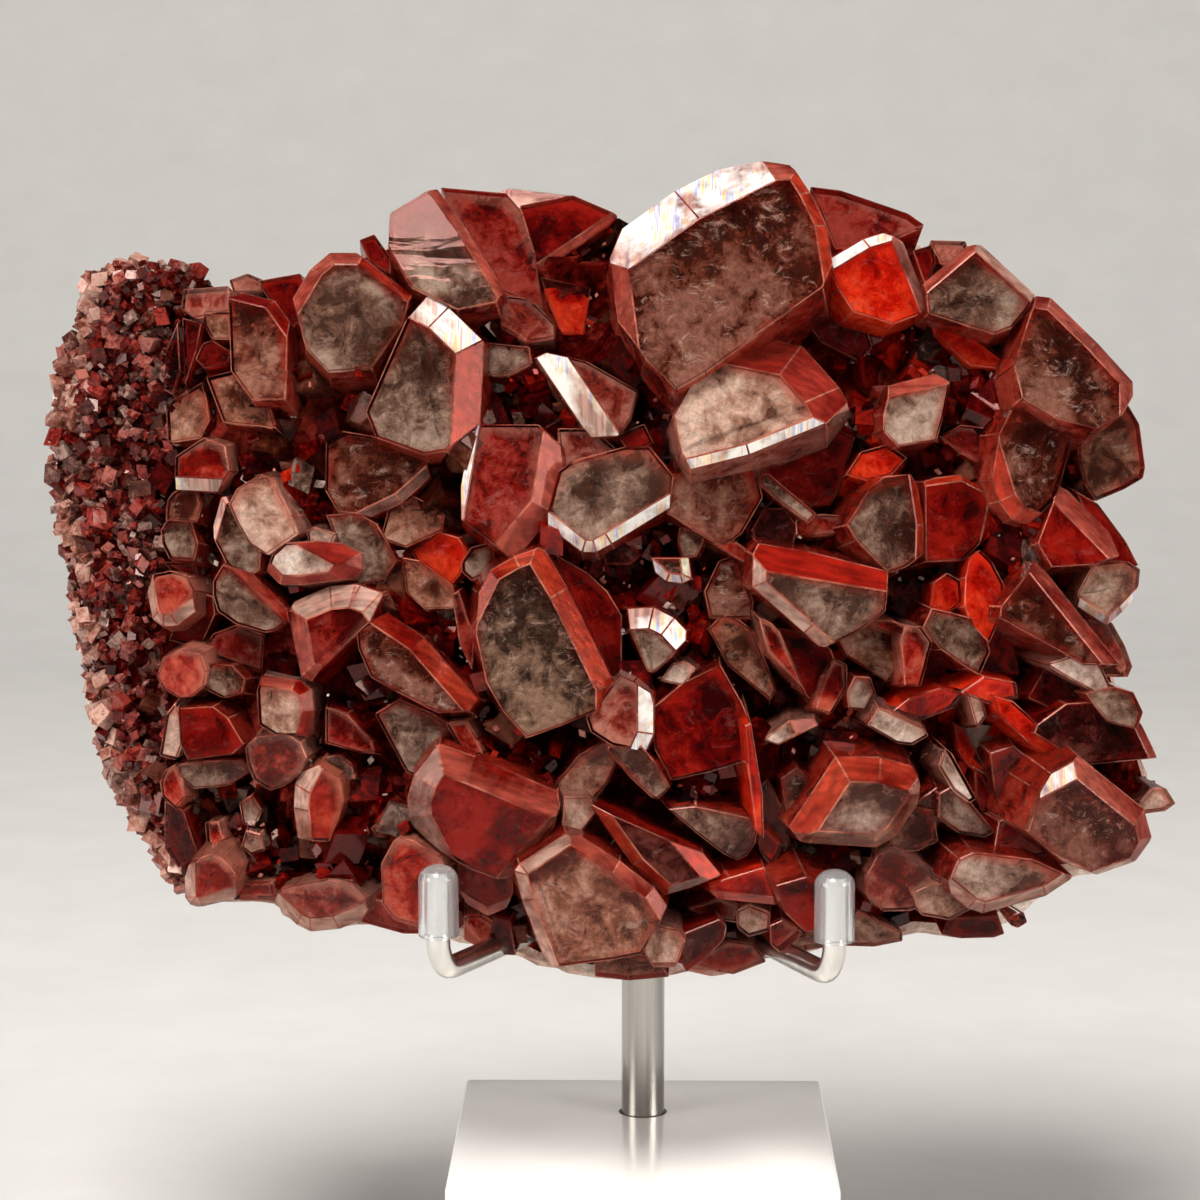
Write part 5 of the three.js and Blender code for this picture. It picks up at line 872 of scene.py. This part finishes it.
shells, veilPieces, phantomPieces = makeCrystals()
calciteCrystals = joined(shells[0], shells[1:])
calciteCrystals.name = "calciteCrystals"
calciteVeils = joined(veilPieces[0], veilPieces[1:])
calciteVeils.name = "calciteVeils"
calcitePhantoms = joined(phantomPieces[0], phantomPieces[1:])
calcitePhantoms.name = "calcitePhantoms"
print("crystals made", len(calciteCrystals.data.polygons))

# The bed under the crystals: a rough red crust, cut to the stone's edge.
bedShape = {
    "shrink": 0.968, "druseShrink": 0.955, "druseSide": -50, "halfSize": (64, 48), "columns": 170,
    "rows": 130, "rough": 0.9, "grain": 0.22, "fineShare": 0.6, "low": 0.3,
    "coreCentre": (2, 42), "coreShrink": (0.74, 0.84), "coreTop": 7.5, "cutter": (-5, 20),
}
bedMaterial = phantomMaterial("bed", (
    (0.008, 0.0003, 0.0002), (0.055, 0.0022, 0.0014), (0.20, 0.022, 0.014),
))

# The bed rises a little inside its edge.
coreCentre, coreShrink = Vector(bedShape["coreCentre"]), Vector(bedShape["coreShrink"])
bedCore = [coreCentre + (p - coreCentre) * coreShrink for p in edgePoints]


# A block with an outline for its plan.
def outlinePrism(points, bottom, top, name):
    bm = bmesh.new()
    face = bm.faces.new([bm.verts.new((p.x, p.y, bottom)) for p in points])
    raised = bmesh.ops.extrude_face_region(bm, geom=[face])["geom"]
    verts = [part for part in raised if isinstance(part, bmesh.types.BMVert)]
    bmesh.ops.translate(bm, verts=verts, vec=(0, 0, top - bottom))
    bmesh.ops.recalc_face_normals(bm, faces=bm.faces)
    return pieceFrom(bm, name, [])


def makeBed():
    shrinks = [bedShape["druseShrink" if p.x < bedShape["druseSide"] else "shrink"] for p in edgePoints]
    outline = [middle + (p - middle) * shrink for p, shrink in zip(edgePoints, shrinks)]
    bm = tintedMesh()
    place = Matrix.Translation((*middle, slab["bedTop"])) @ Matrix.Diagonal((*bedShape["halfSize"], 1, 1))
    bmesh.ops.create_grid(
        bm, x_segments=bedShape["columns"], y_segments=bedShape["rows"], size=1, matrix=place,
    )
    for vert in bm.verts:
        top = bedShape["coreTop"] if isInside(bedCore, vert.co) else slab["bedTop"]
        hills = noise.noise(vert.co * bedShape["grain"]) + bedShape["fineShare"] * noise.noise(vert.co)
        vert.co.z = min(top, top - bedShape["low"] - bedShape["rough"] * hills)
    flat = bmesh.ops.extrude_face_region(bm, geom=bm.faces[:])["geom"]
    for vert in flat:
        if isinstance(vert, bmesh.types.BMVert):
            vert.co.z = slab["gap"]
    bmesh.ops.recalc_face_normals(bm, faces=bm.faces)
    paintEvenly(bm, bm.faces, (0, tintShape["even"], 0))
    bed = pieceFrom(bm, "calciteBed", [bedMaterial])
    return joined(bed, [outlinePrism(outline, *bedShape["cutter"], "bedEdge")], "INTERSECT")


calciteBed = makeBed()
print("bed made", len(calciteBed.data.polygons))

# The hollows between the large crystals, and the small crystals that fill them.
hollows = {"across": (-54, 54), "up": (0, 86), "shrink": 0.955, "near": 7}
faceCentres = [(centreOf(pairs(outline)), face) for _, face, outline, _ in crystalList]
fillers = {
    "tries": 5200, "size": (1.0, 4.4), "skew": 3, "below": (0.6, 4.0), "sink": 0.4, "shear": 0.22,
    "left": -52.8, "seed": 23, "dullSide": -44, "dullSize": 0.6, "vividShare": 0.75,
}
dullPicks = ["umber", "smoke", "maroon"]
fillerPicks = ["hematite", "maroon", "hematite", "umber", "maroon", "hematite", "smoke", "hematite"]
# Where the hollows glow red: the place and how far round it.
vividSpots = [
    (24, 54, 4), (30, 29.5, 4.5), (36, 30, 4), (41, 26, 4.5), (31, 41, 3), (-28, 60, 2), (-38, 52, 2),
    (-12, 38, 1.5),
]


# Small crystals are glossy and let some light through.
def smallMaterial(kind, look):
    n = Nodes("small" + kind.capitalize(), tinted=True)
    fine = n.noise(700, 4, 0.7, 0.6)
    level = n.plus(n.lit, 0.30, fine)
    n.set(Base_Color=n.ramp(level, ((0.50, look[0]), (0.64, look[1]), (0.80, look[2]))))
    n.set(Roughness=0.12, IOR=calciteIor, Transmission_Weight=0.5, Specular_Tint=(0.75, 0.50, 0.46, 1))
    return n.material


smallLooks = {kind: smallMaterial(kind, look) for kind, look in phantomLooks.items()}
smallKinds = list(smallLooks)
rhombWidth, rhombLength = (0.7, 1.1), (0.8, 1.3)


# One rhomb of calcite, turned at random.
def addRhomb(bm, size, spot, draw, slot, shear, thin=1):
    tint = (0, draw(), draw())
    start = len(bm.faces)
    width, length = size * between(rhombWidth, draw()), size * between(rhombLength, draw())
    stretch = Matrix.Diagonal((size * thin, width, length, 1))
    skew = Matrix.Shear("XY", 4, (shear, shear))
    turn = Euler([math.pi * draw() for _ in range(3)]).to_matrix().to_4x4()
    bmesh.ops.create_cube(bm, size=1, matrix=Matrix.Translation(spot) @ turn @ skew @ stretch)
    bm.faces.ensure_lookup_table()
    faces = bm.faces[start:]
    for face in faces:
        face.material_index = slot
    paintEvenly(bm, faces, tint)


# Places for small pieces between the crystals: where, how large, how deep, and a share to pick by.
def hollowPlaces(shape):
    draw = seededRandom(shape["seed"])
    inner = [middle + (p - middle) * hollows["shrink"] for p in edgePoints]
    outlines = [pairs(outline) for _, _, outline, _ in crystalList]
    for _ in range(shape["tries"]):
        at = Vector((between(hollows["across"], draw()), between(hollows["up"], draw())))
        size = between(shape["size"], draw() ** shape["skew"])
        depth, pick = between(shape["below"], draw()), draw()
        if at.x < shape["left"] or not isInside(inner, at):
            continue
        if not any(isInside(points, at) for points in outlines):
            yield at, size, nearHeight(at) - depth, pick, draw


# The lowest crystal face near a place, or the bed.
def nearHeight(at):
    near = [face for centre, face in faceCentres if (centre - at).length < hollows["near"]]
    return min(near, default=slab["bedTop"])


def isVivid(at):
    return any((Vector(spot[:2]) - at).length < spot[2] for spot in vividSpots)


def makeFillers():
    bm = tintedMesh()
    for at, size, height, pick, draw in hollowPlaces(fillers):
        kind = fillerPicks[int(pick * len(fillerPicks))]
        if isVivid(at) and pick < fillers["vividShare"]:
            kind = "vivid"
        if at.x < fillers["dullSide"]:
            kind, size = dullPicks[int(pick * len(dullPicks))], size * fillers["dullSize"]
        spot = seenAt(at, max(slab["bedTop"], height) - size * fillers["sink"])
        addRhomb(bm, size, spot, draw, smallKinds.index(kind), fillers["shear"])
    return pieceFrom(bm, "smallCrystals", smallLooks.values())


smallCrystals = makeFillers()

# Thin flakes of calcite that glitter white and pink between the crystals.
flakes = {
    "tries": 1600, "size": (0.2, 0.8), "skew": 2, "thin": 0.3, "below": (-0.3, 2.6), "least": 1,
    "shear": 0.3, "left": -50, "seed": 41,
}


def flakeMaterial(name, dark, light):
    n = Nodes(name, tinted=True)
    color = n.ramp(n.plus(n.lit, 0.5, n.noise(1800, 3, 0.7)), ((0.55, dark), (0.95, light)))
    n.set(Base_Color=color, Roughness=0.15, Transmission_Weight=0.3, IOR=calciteIor)
    return n.material


flakeLooks = [
    flakeMaterial("flakeWhite", (0.16, 0.06, 0.045), (0.85, 0.70, 0.60)),
    flakeMaterial("flakePink", (0.16, 0.02, 0.012), (0.62, 0.22, 0.16)),
    flakeMaterial("flakeRed", (0.12, 0.002, 0.001), (0.50, 0.03, 0.015)),
]


def makeFlakes():
    bm = tintedMesh()
    for at, size, height, pick, draw in hollowPlaces(flakes):
        spot = seenAt(at, max(slab["bedTop"] + flakes["least"], height))
        addRhomb(bm, size, spot, draw, int(pick * len(flakeLooks)), flakes["shear"], flakes["thin"])
    return pieceFrom(bm, "calciteFlakes", flakeLooks)


calciteFlakes = makeFlakes()

# The druse on the left: a crust of fine crystals, paler at the stone's edge.
druseShape = {
    "left": -63, "right": -46, "bottom": 7, "top": 77, "step": 0.62, "size": (0.45, 1.5), "skew": 2,
    "edgeRoom": 0.6, "bedTop": 3.4, "lift": 2.3, "hills": 1.3, "hillScale": 0.2, "hillSeed": 3,
    "rimWidth": 3, "rimDrop": 1.7, "rimGrowth": 1.4, "paleShare": 0.7, "shear": 0.22, "seed": 71,
    "overlap": 2, "far": -80, "farTop": 80,
}


# All that lies left of the border, and a little past it.
def druseSide():
    border = [p + Vector((druseShape["overlap"], 0)) for p in pairs(druseBorder)]
    return [*border, Vector((druseShape["far"], 0)), Vector((druseShape["far"], druseShape["farTop"]))]


# Druse calcite: small glossy crystals, each lighter or darker than the next.
def druseMaterial(name, dark, main, light):
    n = Nodes(name, tinted=True)
    level = n.plus(n.lit, 0.36, n.noise(1500, 4, 0.7, 0.4))
    color = n.ramp(level, ((0.50, dark), (0.66, main), (0.86, light)))
    n.set(Base_Color=color, Roughness=0.10, Transmission_Weight=0.45, IOR=calciteIor)
    n.set(Specular_Tint=(0.85, 0.62, 0.58, 1))
    return n.material


druseLooks = [
    druseMaterial("druseMaroon", (0.030, 0.0006, 0.0005), (0.15, 0.005, 0.0035), (0.42, 0.055, 0.040)),
    druseMaterial("druseRose", (0.045, 0.002, 0.0015), (0.20, 0.020, 0.015), (0.50, 0.16, 0.125)),
    druseMaterial("druseGrey", (0.040, 0.009, 0.007), (0.18, 0.064, 0.050), (0.54, 0.34, 0.285)),
    druseMaterial("drusePale", (0.20, 0.050, 0.035), (0.50, 0.20, 0.145), (0.80, 0.50, 0.40)),
]
drusePicks = [0, 0, 1, 1, 2, 0, 1, 2]
drusePale = 3


def makeDruse():
    draw = seededRandom(druseShape["seed"])
    side, step, scale = druseSide(), druseShape["step"], druseShape["hillScale"]
    bm = tintedMesh()
    rows = int((druseShape["top"] - druseShape["bottom"]) / step)
    columns = int((druseShape["right"] - druseShape["left"]) / step)
    for row, column in itertools.product(range(rows), range(columns)):
        left = druseShape["left"] + (column + draw()) * step
        at = Vector((left, druseShape["bottom"] + (row + draw()) * step))
        size = between(druseShape["size"], draw() ** druseShape["skew"])
        lift, pick = draw(), draw()
        outer = Vector((at.x - size * druseShape["edgeRoom"], at.y))
        if not isInside(edgePoints, outer) or not isInside(side, at):
            continue
        spot = Vector((at.x * scale, at.y * scale, druseShape["hillSeed"]))
        hills = druseShape["hills"] * noise.noise(spot)
        height = druseShape["bedTop"] + druseShape["lift"] * lift + hills
        slot = drusePicks[int(pick * len(drusePicks))]
        if not isInside(edgePoints, at - Vector((druseShape["rimWidth"], 0))):
            height -= druseShape["rimDrop"]
            size *= druseShape["rimGrowth"]
            slot = drusePale if pick < druseShape["paleShare"] else slot
        addRhomb(bm, size, seenAt(at, height), draw, slot, druseShape["shear"])
    return pieceFrom(bm, "calciteDruse", druseLooks)


calciteDruse = makeDruse()
print("small crystals made", len(smallCrystals.data.polygons), len(calciteDruse.data.polygons))


# Rock: cream-pink, rough and grainy, with red stains.
def rockMaterial():
    n = Nodes("rock")
    color = n.ramp(n.noise(120, 6, 0.65, 0.6), (
        (0.34, (0.34, 0.15, 0.11)), (0.48, (0.62, 0.42, 0.33)), (0.66, (0.80, 0.66, 0.57)),
    ))
    grains = n.noise(1300, 4, 0.8)
    color = n.mix(0.7, color, n.ramp(grains, ((0.36, grey(0.45)), (0.62, grey(1.25)))), "MULTIPLY")
    stains = n.noise(70, 5, 0.6, 1.0, n.placed(shift=(0.2, 0.5, 0.1)))
    color = n.mix(n.ramp(stains, ((0.36, grey(0.8)), (0.46, grey(0)))), color, (0.30, 0.05, 0.03))
    n.set(Base_Color=color, Roughness=0.85)
    n.bump(grains, 0.7, 0.0008)
    return n.material


rock = rockMaterial()
# The waves are pairs of scale and share.
rockRelief = {"cuts": 2, "depth": 0.55, "waves": ((0.22, 1), (0.9, 0.6), (2.6, 0.35)), "merge": 1e-5}


# The matrix gets a broken surface: finer faces, each pushed a little inwards.
def makeRock():
    bm = bmesh.new()
    bm.from_mesh(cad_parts["matrix"].data)
    bmesh.ops.remove_doubles(bm, verts=bm.verts, dist=rockRelief["merge"])
    bmesh.ops.subdivide_edges(bm, edges=bm.edges[:], cuts=rockRelief["cuts"], use_grid_fill=True)
    bm.normal_update()
    moves = []
    for vert in bm.verts:
        at = vert.co * 1000
        rough = sum(noise.noise(at * scale) * share for scale, share in rockRelief["waves"])
        moves.append(vert.normal * (-0.001 * rockRelief["depth"] * min(1, max(0, 0.5 + rough))))
    for vert, move in zip(bm.verts, moves):
        vert.co += move
    return pieceFrom(bm, "matrixRock", [rock], fromMetres)


matrixRock = makeRock()
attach(matrixRock, "root")
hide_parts("matrix")

# The stand. Its pieces follow the solids' places and sizes, in millimetres, with round sections.
stand = {
    "base": 41, "baseHeight": 19, "corner": 0.5, "postRadius": 2.38, "postY": 7.5, "postDepth": 9,
    "postTop": 41.2, "hubRadius": 4, "hub": (41.5, 48.5), "wireRadius": 1.19, "tension": 0.25,
    "armHeight": 44.8, "armSpread": 38, "bend": 2.8, "ease": 0.3, "rise": 10.4,
    "left": (-20.7, -24.5, 42.8), "right": (19.3, -24.5, 42.4), "round": 48, "stepsOfRoute": 14,
    "sharp": math.radians(35), "rodCorner": 0.25, "hubCorner": 0.5, "holePast": 2,
}
sleeveShape = {
    "outer": 2.05, "bore": 1.5, "length": 7.4, "wall": 0.6, "overlap": 6.6, "dome": 0.8, "domeSteps": 8,
    "lip": 0.1, "taper": 0.8, "taperLength": 0.3,
}
backArm = [
    (0, 9.6, 48.95), (0, 9.9, 50.6), (0, 12.2, 54.6), (0, 16.6, 63), (0, 18.4, 78), (0, 17.2, 87),
    (0, 11.6, 93.6),
]


def steelMaterial(name, dark, light):
    n = Nodes(name)
    lines = n.noise(900, 3, 0.6, 0, n.placed(stretch=(1, 1, 0.02)))
    color = n.ramp(lines, ((0.35, dark), (0.65, light)))
    n.set(Base_Color=color, Metallic=1.0, Roughness=0.26)
    n.bump(lines, 0.08, 0.0001)
    return n.material


# Clear acrylic that looks milky: the light scatters on its saw marks and its frosted sides.
def acrylicMaterial():
    n = Nodes("acrylic")
    marks = n.noise(260, 4, 0.6, 0, n.placed(stretch=(0.06, 0.06, 1)))
    color = n.ramp(marks, ((0.35, (0.97, 0.94, 0.90)), (0.65, (1, 0.985, 0.96))))
    n.set(Base_Color=color, Transmission_Weight=0.12, Roughness=0.30, IOR=1.49)
    n.set(Coat_Weight=1.0, Coat_Roughness=0.10)
    n.bump(marks, 0.12, 0.0001)
    return n.material


def vinylMaterial():
    n = Nodes("vinyl")
    n.set(Base_Color=(0.93, 0.95, 0.96, 1), Transmission_Weight=0.9, Roughness=0.12, IOR=1.5)
    return n.material


postSteel = steelMaterial("postSteel", (0.34, 0.325, 0.30), (0.48, 0.46, 0.43))
wireSteel = steelMaterial("wireSteel", (0.66, 0.64, 0.60), (0.82, 0.80, 0.76))
acrylic, vinyl = acrylicMaterial(), vinylMaterial()


# A turned piece: its profile, as radius and height pairs, spun round an upright axis at y.
def turned(name, profile, material, y=0):
    bm = bmesh.new()
    verts = [bm.verts.new((radius, 0, height)) for radius, height in profile]
    edges = [bm.edges.new(pair) for pair in zip(verts, verts[1:])]
    bmesh.ops.spin(
        bm, geom=verts + edges, cent=(0, 0, 0), axis=(0, 0, 1), angle=2 * math.pi,
        steps=stand["round"], use_merge=True,
    )
    bmesh.ops.remove_doubles(bm, verts=bm.verts, dist=1e-4)
    bmesh.ops.recalc_face_normals(bm, faces=bm.faces)
    piece = pieceFrom(bm, name, [material], Matrix.Translation((0, y, 0)), smooth=True)
    piece.data.set_sharp_from_angle(angle=stand["sharp"])
    return piece


def rodProfile(radius, bottom, top, corner=stand["rodCorner"]):
    return [
        (0, bottom), (radius - corner, bottom), (radius, bottom + corner),
        (radius, top - corner), (radius - corner, top), (0, top),
    ]


# Points along a cardinal spline through the given ones.
def smoothRoute(points):
    points = [Vector(p) for p in points]
    padded = [2 * points[0] - points[1], *points, 2 * points[-1] - points[-2]]
    route = []
    for before, a, b, after in zip(padded, padded[1:], padded[2:], padded[3:]):
        startPull, endPull = (b - before) * stand["tension"], (after - a) * stand["tension"]
        for i in range(stand["stepsOfRoute"]):
            t = i / stand["stepsOfRoute"]
            route.append(
                a * (2 * t ** 3 - 3 * t ** 2 + 1) + b * (3 * t ** 2 - 2 * t ** 3)
                + startPull * (t ** 3 - 2 * t ** 2 + t) + endPull * (t ** 3 - t ** 2)
            )
    return route + [points[-1]]


def wireAlong(name, points):
    curve = bpy.data.curves.new(name, "CURVE")
    curve.dimensions, curve.bevel_depth, curve.use_fill_caps = "3D", stand["wireRadius"], True
    curve.bevel_resolution = 8
    spline = curve.splines.new("POLY")
    route = smoothRoute(points)
    spline.points.add(len(route) - 1)
    for point, place in zip(spline.points, route):
        point.co = (*place, 1)
    drawn = bpy.data.objects.new(name, curve)
    scene.collection.objects.link(drawn)
    bm = bmesh.new()
    bm.from_mesh(finishedMesh(drawn))
    bpy.data.objects.remove(drawn)
    piece = pieceFrom(bm, name, [wireSteel], Matrix(), smooth=True)
    piece.data.set_sharp_from_angle(angle=stand["sharp"])
    return piece


# The route of a front arm: from the hub to its corner under the stone, and up from there.
def frontArm(corner):
    side = math.copysign(1, corner[0])
    turn = math.radians(stand["armSpread"])
    reach = stand["hubRadius"] + slab["gap"]
    acrossHub = side * math.sin(turn) * reach
    start = Vector((acrossHub, stand["postY"] - math.cos(turn) * reach, stand["armHeight"]))
    corner, up = Vector(corner), Vector((0, 0, 1))
    back = (start - corner).normalized()
    ease = stand["bend"] * stand["ease"]
    middleOfBend = corner + back * ease
    middleOfBend.z = corner.z + ease
    bendIn, bendOut = corner + back * stand["bend"], corner + up * stand["bend"]
    return [start, start.lerp(bendIn, 0.5), bendIn, middleOfBend, bendOut, corner + up * stand["rise"]]


# A clear sleeve over a wire's tip, with a domed end and a bore that narrows there.
def sleeveOn(name, points):
    tip = Vector(points[-1])
    along = (tip - Vector(points[-2])).normalized()
    outer, bore, length, wall = (sleeveShape[key] for key in ("outer", "bore", "length", "wall"))
    lip, end = sleeveShape["lip"], length - wall
    profile = [(bore, 0), (outer - lip, 0), (outer, lip)]
    for i in range(sleeveShape["domeSteps"]):
        angle = math.pi / 2 * i / sleeveShape["domeSteps"]
        fall = outer * sleeveShape["dome"] * (1 - math.sin(angle))
        profile.append((outer * math.cos(angle), length - fall))
    profile += [
        (0, length), (0, end), (bore * sleeveShape["taper"], end), (bore, end - sleeveShape["taperLength"]),
        (bore, 0),
    ]
    piece = turned(name, profile, vinyl)
    place = Matrix.Translation((tip - along * sleeveShape["overlap"]) * 0.001)
    piece.data.transform(place @ along.to_track_quat("Z", "Y").to_matrix().to_4x4())
    return piece


# The block: square, with softened edges and a hole for the post.
def makeBase():
    bm = bmesh.new()
    side, height = stand["base"], stand["baseHeight"]
    place = Matrix.Translation((0, 0, height / 2)) @ Matrix.Diagonal((side, side, height, 1))
    bmesh.ops.create_cube(bm, size=1, matrix=place)
    bmesh.ops.bevel(
        bm, geom=bm.edges[:], offset=stand["corner"], affect="EDGES", segments=3, profile=0.5,
        material=-1,
    )
    block = pieceFrom(bm, "acrylicBlock", [acrylic], Matrix())
    bottom = height - stand["postDepth"] - slab["gap"]
    profile = rodProfile(stand["postRadius"] + slab["gap"], bottom, height + stand["holePast"])
    block = joined(block, [turned("postHole", profile, acrylic, stand["postY"])], "DIFFERENCE")
    block.data.shade_smooth()
    block.data.set_sharp_from_angle(angle=stand["sharp"])
    return block


arms = {"left": frontArm(stand["left"]), "right": frontArm(stand["right"]), "back": backArm}
postProfile = rodProfile(stand["postRadius"], stand["baseHeight"] - stand["postDepth"], stand["postTop"])
hubProfile = rodProfile(stand["hubRadius"], *stand["hub"], stand["hubCorner"])
standPieces = {
    "base_block": (makeBase(), "acrylic"),
    "post": (turned("standPost", postProfile, postSteel, stand["postY"]), "steel"),
    "hub": (turned("standHub", hubProfile, postSteel, stand["postY"]), "steel"),
}
for side, points in arms.items():
    standPieces["arm_" + side] = wireAlong("arm" + side.capitalize(), points), "steel"
    standPieces["sleeve_" + side] = sleeveOn("sleeve" + side.capitalize(), points), "vinyl"
for node, (piece, slotName) in standPieces.items():
    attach(piece, "root")
    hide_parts(node)
print("stand made")

for piece, slotName in (
    (calciteCrystals, "calcite"), (calciteVeils, "calcite"), (calcitePhantoms, "calcite"),
    (calciteBed, "calcite"), (smallCrystals, "calcite"), (calciteFlakes, "calcite"),
    (calciteDruse, "druse"),
):
    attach(piece, "root")
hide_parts("calcite_crystals")
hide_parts("calcite_druse")

# Floor, light and camera, in metres and degrees.
room = {
    "width": 3.0, "front": -1.6, "back": 0.9, "bend": 0.45, "bendSteps": 12, "top": 1.4,
    "camera": (0, -0.3495, 0.124), "pitch": 7.55, "yaw": 0.77, "lens": 98.6, "sensor": 36, "near": 0.01,
    "aim": (0, 0, 0.07), "world": 0.12, "worldColour": (0.95, 0.97, 1, 1),
}
# Each light: its place, width, power and colour.
lights = {
    "keyLight": ((-0.16, -0.42, 0.78), 0.40, 9.2, (1, 0.965, 0.92)),
    "leftLight": ((-0.75, -0.42, 0.30), 0.45, 4.0, (1, 0.95, 0.90)),
    "rightLight": ((0.75, -0.42, 0.34), 0.45, 4.8, (1, 0.95, 0.90)),
}


def paperMaterial():
    n = Nodes("floorPaper")
    color = n.ramp(n.noise(60, 4, 0.6), ((0.3, (0.66, 0.65, 0.635)), (0.7, (0.70, 0.69, 0.675))))
    n.set(Base_Color=color, Roughness=0.85)
    return n.material


# A pale floor that bends up into a backdrop.
def makeFloor():
    bm = bmesh.new()
    left, bend, back = -room["width"] / 2, room["bend"], room["back"]
    route = [(left, room["front"], 0), (left, back - bend, 0)]
    for i in range(1, room["bendSteps"] + 1):
        turn = math.pi / 2 * i / room["bendSteps"]
        route.append((left, back - bend * (1 - math.sin(turn)), bend * (1 - math.cos(turn))))
    verts = [bm.verts.new(place) for place in (*route, (left, back, room["top"]))]
    edges = [bm.edges.new(pair) for pair in zip(verts, verts[1:])]
    wide = bmesh.ops.extrude_edge_only(bm, edges=edges)["geom"]
    wide = [part for part in wide if isinstance(part, bmesh.types.BMVert)]
    bmesh.ops.translate(bm, verts=wide, vec=(room["width"], 0, 0))
    bmesh.ops.recalc_face_normals(bm, faces=bm.faces)
    return pieceFrom(bm, "floor", [paperMaterial()], fromMetres, smooth=True)


makeFloor()


def areaLight(name, place, size, power, color):
    light = bpy.data.lights.new(name, "AREA")
    light.shape, light.size, light.energy, light.color = "DISK", size, power, color
    lamp = bpy.data.objects.new(name, light)
    lamp.location = place
    lamp.rotation_euler = (Vector(room["aim"]) - Vector(place)).to_track_quat("-Z", "Y").to_euler()
    scene.collection.objects.link(lamp)


for name, look in lights.items():
    areaLight(name, *look)
world = bpy.data.worlds.new("studio")
world.use_nodes = True
worldLight = world.node_tree.nodes["Background"].inputs
worldLight["Color"].default_value = room["worldColour"]
worldLight["Strength"].default_value = room["world"]
scene.world = world
scene.view_settings.view_transform = "Standard"

cameraData = bpy.data.cameras.new("camera")
cameraData.lens, cameraData.sensor_width = room["lens"], room["sensor"]
cameraData.clip_start = room["near"]
camera = bpy.data.objects.new("camera", cameraData)
camera.location = room["camera"]
camera.rotation_euler = (math.radians(90 - room["pitch"]), 0, math.radians(room["yaw"]))
scene.collection.objects.link(camera)
scene.camera = camera
print("stage, light and camera made")
